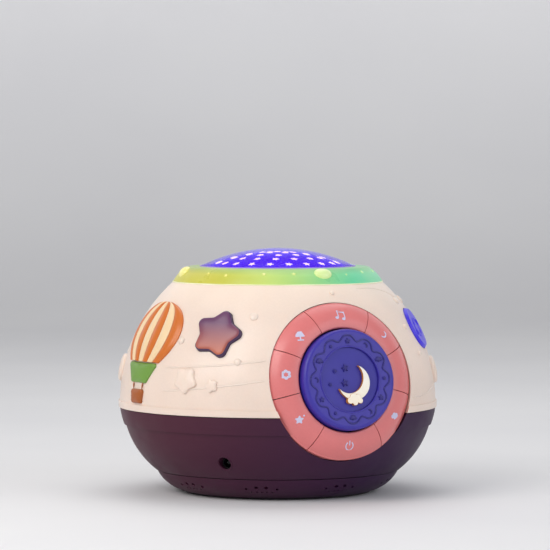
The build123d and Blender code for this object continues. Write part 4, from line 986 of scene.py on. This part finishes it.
def jack_rim():
    """A thin raised lip around the charging hole, lying on the bowl."""
    center_r, center_z, bend = arc_through(*BOWL_SIDE)
    bm = bmesh.new()
    points = []
    for step in range(48):
        turn = 2 * math.pi * step / 48
        z = JACK_SPOT[1] + JACK_RIM_R * math.sin(turn)
        reach = center_r + math.sqrt(bend * bend - (z - center_z) ** 2)
        azimuth = JACK_SPOT[0] + math.degrees(JACK_RIM_R * math.cos(turn) / reach)
        points.append(around(reach, azimuth, z) * MM)
    add_tube(bm, points, 0.32, closed=True)
    finish_piece("charge_hole_rim", bm, HOUSING, "purple_shell", MATERIALS["purple_shell"])


# ----------------------------------------------------------- shell relief


def shell_relief():
    """Puffy cream stars, clouds and dots over the plain raised shapes of the shell."""
    bm = bmesh.new()
    for azimuth, z, outer, lean in SHELL_STARS:
        shape = rounded(star(outer, outer * 0.68, lean), outer * 0.2)
        add_puff(bm, on_skin(azimuth, z), shape, -0.3, 0.75, 2.0 if outer > 5 else 1.5)
    add_puff(bm, on_skin(165.0, 74.0), cloud_outline(1.36), -0.3, 0.8, 2.3)
    for azimuth, z, across in SHELL_OVALS:
        add_puff(bm, on_skin(azimuth, z), ellipse(across, 7.5, count=48), -0.3, 0.5, 2.3)
    for azimuth, z, size in SHELL_DOTS:
        add_puff(bm, on_skin(azimuth, z), ellipse(size, size, count=28), -0.3, 0.1, 1.05, power=2.0)
    finish_piece("shell_relief", bm, HOUSING, "cream_shell", MATERIALS["cream_shell"])


def orbit_lines():
    """Fine raised lines that sweep over the shell between the motifs."""
    bm = bmesh.new()
    for start, middle, end in ORBIT_SWEEPS:
        points = []
        for step in range(41):
            share = step / 40
            spot = []
            for a, b, c in zip(start, middle, end):
                pull = 2 * b - (a + c) / 2
                spot.append((1 - share) ** 2 * a + 2 * share * (1 - share) * pull + share**2 * c)
            points.append(on_skin(spot[0], spot[1])(0, 0, -0.3))
        add_tube(bm, points, 0.62)
    finish_piece("orbit_lines", bm, HOUSING, "cream_shell", MATERIALS["cream_shell"])


# ------------------------------------------------------------------ balloon


def balloon_half_width(y):
    """Half width of the envelope at a height above the motif's middle."""
    if y > BALLOON_WIDEST:
        share = (y - BALLOON_WIDEST) / (BALLOON_TOP - BALLOON_WIDEST)
        return BALLOON_HALF_WIDTH * math.sqrt(max(0.0, 1 - share * share))
    share = (BALLOON_WIDEST - y) / (BALLOON_WIDEST - BALLOON_LOW)
    return BALLOON_HALF_WIDTH - (BALLOON_HALF_WIDTH - BALLOON_NECK) * share**2


def add_gore(bm, place, left, right):
    """One upright panel of the envelope, bulging between its seams."""
    columns, rows = 8, 22
    grid = []
    for row in range(rows + 1):
        share = row / rows
        y = BALLOON_LOW + (BALLOON_TOP - 0.05 - BALLOON_LOW) * math.sin(share * math.pi / 2)
        half = balloon_half_width(y)
        line = []
        for column in range(columns + 1):
            u = left + (right - left) * column / columns
            swell = math.sqrt(max(0.0, 1 - abs(u) ** 2.6)) * math.sqrt(half / BALLOON_HALF_WIDTH)
            bulge = math.sin(math.pi * column / columns) * min(1.0, half / 8)
            line.append(bm.verts.new(place(u * half, y, 0.35 + 1.55 * swell + 0.5 * bulge)))
        grid.append(line)
    for row in range(rows):
        for column in range(columns):
            bm.faces.new(
                (grid[row][column], grid[row][column + 1], grid[row + 1][column + 1], grid[row + 1][column])
            )
    rim = grid[0][:] + [line[-1] for line in grid[1:]]
    rim += list(reversed(grid[-1][:-1])) + list(reversed([line[0] for line in grid[1:-1]]))
    center = Vector((0, 0, SKIN_CENTER_Z * MM))
    lowered = []
    for vertex in rim:
        inward = (center - vertex.co).normalized()
        lowered.append(bm.verts.new(vertex.co + inward * GORE_SKIRT * MM))
    count = len(rim)
    for index in range(count):
        after = (index + 1) % count
        bm.faces.new((rim[after], rim[index], lowered[index], lowered[after]))


def balloon():
    """The hot-air balloon inlay: seven bulging gores, a skirt, ropes and a basket."""
    place = on_skin(*BALLOON_SPOT)
    seams = [-1 + 2 * step / BALLOON_GORES for step in range(BALLOON_GORES + 1)]
    colours = (
        ("balloon_gores_orange", "balloon_orange", (0, 2, 4, 6), "balloon_envelope"),
        ("balloon_gores_cream", "balloon_cream", (1, 3, 5), "balloon_gores"),
    )
    for name, slot, gores, node in colours:
        bm = bmesh.new()
        for gore in gores:
            add_gore(bm, place, seams[gore] + 0.006, seams[gore + 1] - 0.006)
        piece = finish_piece(name, bm, HOUSING, slot, MATERIALS[slot], sharp=55)
        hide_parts(node)
    bm = bmesh.new()
    skirt = rounded([(-15.2, -5.9), (15.2, -5.9), (7.6, -16.5), (-7.6, -16.5)], 1.2)
    add_puff(bm, place, skirt, -0.4, 0.5, 2.0, center=(0.0, -10.4))
    for x in (-6.0, 0.0, 6.0):
        seam = [place(x * (1.6 - 0.6 * t), -6.6 - 8.2 * t, 1.75 - abs(x) * 0.03) for t in (0, 0.33, 0.66, 1)]
        add_tube(bm, seam, 0.22)
    piece = finish_piece("balloon_skirt_puff", bm, HOUSING, "balloon_green", MATERIALS["balloon_green"])
    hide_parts("balloon_skirt")
    bm = bmesh.new()
    basket = rounded([(-6.2, -19.9), (6.2, -19.9), (5.2, -27.3), (-5.2, -27.3)], 1.4)
    add_puff(bm, place, basket, -0.4, 0.6, 2.1, center=(0.0, -23.6))
    for y in (-21.6, -23.6, -25.6):
        weave = [place(-5.2 + 10.4 * t / 8, y + 0.22 * math.sin(math.pi * t), 1.75) for t in range(9)]
        add_tube(bm, weave, 0.24)
    for x in (-4.6, 4.6):
        rope = [place(x * (1.0 + 0.1 * t), -20.4 + 5.0 * t, 0.5) for t in (0, 0.25, 0.5, 0.75, 1)]
        add_tube(bm, rope, 0.55)
    piece = finish_piece("balloon_basket_puff", bm, HOUSING, "balloon_brown", MATERIALS["balloon_brown"])
    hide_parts("balloon_basket")


# ---------------------------------------------------------- ring and dome


def on_ring(azimuth, tilt=45.0, radius=52.0, z=118.5):
    """Places x, y, h on the ring's sloping shoulder."""
    turn = math.radians(azimuth - 90)
    rise = math.radians(tilt)
    outward = Vector((math.cos(turn), math.sin(turn), 0))
    out = outward * math.cos(rise) + Vector((0, 0, math.sin(rise)))
    across = Vector((-math.sin(turn), math.cos(turn), 0))
    up = out.cross(across)

    def place(x, y, h):
        bend = -x * x / (2 * radius) * math.cos(rise) - y * y / 24
        return (around(radius, azimuth, z) + across * x + up * y + out * (h + bend)) * MM

    return place


def ring_beads():
    """Oval pearly beads on the glow ring, faint flecks between them, the ring's seam light and a painted
    highlight along the dome's edge.
    """
    for index, azimuth in enumerate(BEAD_AZIMUTHS):
        bm = bmesh.new()
        add_puff(bm, on_ring(azimuth), ellipse(5.0, 3.7, count=40), -1.0, 0.1, 1.9, power=2.0)
        finish_piece(f"ring_bead_{index + 1}", bm, HOUSING, "glow_ring", BEAD_MATERIAL)
    bm = bmesh.new()
    chance = random.Random(7)
    for azimuth in range(18, 360, 18):
        if min(abs(azimuth - bead) for bead in BEAD_AZIMUTHS) < 12:
            continue
        place = on_ring(azimuth + chance.uniform(-4, 4))
        y = chance.uniform(-1.6, 1.6)
        if chance.random() < 0.5:
            add_puff(bm, place, moved(rounded(star(1.3, 0.62), 0.12), 0, y), -0.4, 0.05, 0.4, center=(0, y))
        else:
            add_puff(bm, place, ellipse(0.6, 0.6, 0, y, 16), -0.4, 0.02, 0.35, center=(0, y))
    finish_piece("ring_flecks", bm, HOUSING, "glow_ring", BEAD_MATERIAL)
    bm = bmesh.new()
    line = [around(RING_FOOT[0] + 0.1, 3 * step, RING_FOOT[1] - 0.1) * MM for step in range(120)]
    add_tube(bm, line, 0.3, closed=True)
    finish_piece("ring_seam_light", bm, HOUSING, "glow_ring", SEAM_MATERIAL)
    # A pale lilac tube along the dome's edge: a painted highlight
    bm = bmesh.new()
    line = [around(DOME_EDGE[0], 3 * step, DOME_EDGE[1]) * MM for step in range(120)]
    add_tube(bm, line, 0.32, closed=True)
    finish_piece("dome_edge_light", bm, HOUSING, "clear_dome", EDGE_MATERIAL)


def on_mask(reach, angle):
    """Wraps x, y, h onto the star mask's cap, around a window's place."""
    bend = DOME_RADIUS - MASK_BELOW
    cos, sin = math.cos(math.radians(angle)), math.sin(math.radians(angle))

    def place(x, y, h):
        along = reach + x
        spot = Vector((cos * along - sin * y, sin * along + cos * y, 0))
        spot.z = DOME_TOP_Z - DOME_RADIUS + math.sqrt((bend + h) ** 2 - spot.x**2 - spot.y**2)
        return spot * MM

    return place


def window_stars():
    """Bright lenses that fill the mask's star windows, a little proud of it."""
    bm = bmesh.new()
    for reach, count in WINDOW_ROWS:
        for index in range(count):
            place = on_mask(reach, reach * 4 + 360 * index / count)
            outline = star(WINDOW_OUTER, WINDOW_INNER)
            add_puff(bm, place, outline, -1.2, 0.12, 0.42, rings=4, power=2.0)
    finish_piece("window_stars", bm, "mask_rotor", "led_lens", FILM_MATERIAL, sharp=60)


# ---------------------------------------------------------------- the stage


def stage_material():
    shader = Shader("pale_floor")
    patch = shader.spread(shader.noise(3.0, 3.0), 0.0, 1.0)
    tone = shader.blend(patch, srgb(238, 238, 240), srgb(232, 232, 235))
    shader.paint(tone)
    height = shader.along("Z", 0.0, 1.0, 0.02, 0.9)
    glow = shader.blend(height, BLACK, srgb(226, 226, 230))
    shader.link(glow, shader.surface.inputs["Emission Color"])
    rays = shader.node("ShaderNodeLightPath")
    seen = rays.outputs["Is Camera Ray"]
    for kind in ("Is Glossy Ray", "Is Transmission Ray"):
        either = shader.node("ShaderNodeMath", operation="MAXIMUM")
        shader.link(seen, either.inputs[0])
        shader.link(rays.outputs[kind], either.inputs[1])
        seen = either.outputs[0]
    strength = shader.node("ShaderNodeMath", operation="MULTIPLY")
    shader.link(seen, strength.inputs[0])
    strength.inputs[1].default_value = BACKDROP_GLOW
    shader.link(strength.outputs[0], shader.surface.inputs["Emission Strength"])
    shader.set("Roughness", 0.7)
    return shader.material


def build_stage():
    """A pale floor that sweeps up into a backdrop behind the lamp."""
    bm = bmesh.new()
    behind = Vector((-math.sin(CAMERA_AZIMUTH), math.cos(CAMERA_AZIMUTH), 0))
    side = Vector((math.cos(CAMERA_AZIMUTH), math.sin(CAMERA_AZIMUTH), 0))
    profile = [(-4.0, 0.0), (1.6, 0.0)]
    for step in range(1, 13):
        turn = math.pi / 2 * step / 12
        profile.append((1.6 + 0.8 * math.sin(turn), 0.8 - 0.8 * math.cos(turn)))
    profile.append((2.4, 4.0))
    rows = []
    for along, up in profile:
        rows.append([bm.verts.new(behind * along + side * s + Vector((0, 0, up))) for s in (-5.0, 5.0)])
    for first, second in zip(rows, rows[1:]):
        bm.faces.new((first[0], first[1], second[1], second[0]))
    mesh = bpy.data.meshes.new("floor")
    bm.to_mesh(mesh)
    bm.free()
    mesh.shade_smooth()
    mesh.materials.append(stage_material())
    floor = bpy.data.objects.new("floor", mesh)
    bpy.context.scene.collection.objects.link(floor)


def add_softbox(name, azimuth, elevation, distance, size, power, colour):
    """A square area lamp that looks at the object."""
    lamp = bpy.data.lights.new(name, "AREA")
    lamp.size = size
    lamp.energy = power
    lamp.color = colour
    holder = bpy.data.objects.new(name, lamp)
    turn, rise = math.radians(azimuth), math.radians(elevation)
    away = Vector((math.sin(turn) * math.cos(rise), -math.cos(turn) * math.cos(rise), math.sin(rise)))
    aim = Vector((0, 0, 0.06))
    holder.location = aim + away * distance
    holder.rotation_mode = "QUATERNION"
    holder.rotation_quaternion = (-away).to_track_quat("-Z", "Y")
    bpy.context.scene.collection.objects.link(holder)


def build_lights():
    add_softbox("key_light", -72, 34, 1.1, 0.7, 5.6, (1.0, 0.97, 0.93))
    add_softbox("fill_light", 28, 22, 1.3, 0.9, 3.6, (0.93, 0.95, 1.0))
    add_softbox("top_light", 150, 70, 1.2, 0.9, 3.4, (1.0, 1.0, 1.0))
    world = bpy.data.worlds.new("studio")
    world.use_nodes = True
    world.node_tree.nodes["Background"].inputs["Color"].default_value = (1.0, 1.0, 1.0, 1.0)
    world.node_tree.nodes["Background"].inputs["Strength"].default_value = 0.5
    bpy.context.scene.world = world


def build_camera():
    back = Vector(
        (
            math.sin(CAMERA_AZIMUTH) * math.cos(CAMERA_ELEVATION),
            -math.cos(CAMERA_AZIMUTH) * math.cos(CAMERA_ELEVATION),
            math.sin(CAMERA_ELEVATION),
        )
    )
    right = Vector((math.cos(CAMERA_AZIMUTH), math.sin(CAMERA_AZIMUTH), 0))
    aim = right * CAMERA_AIM_SIDE + Vector((0, 0, CAMERA_AIM_Z))
    lens = bpy.data.cameras.new("camera")
    lens.lens = CAMERA_LENS
    lens.sensor_width = 36.0
    lens.clip_end = 20.0
    camera = bpy.data.objects.new("camera", lens)
    camera.location = (aim + back * CAMERA_DISTANCE) * MM
    camera.rotation_mode = "QUATERNION"
    camera.rotation_quaternion = (-back).to_track_quat("-Z", "Y")
    bpy.context.scene.collection.objects.link(camera)
    bpy.context.scene.camera = camera


build_camera()
build_stage()
build_lights()
key_symbols()
pad_relief()
dish_details()
moon_and_cloud()
star_button()
planet_button()
jack_rim()
shell_relief()
orbit_lines()
balloon()
ring_beads()
window_stars()

bpy.context.scene.view_settings.view_transform = "Standard"
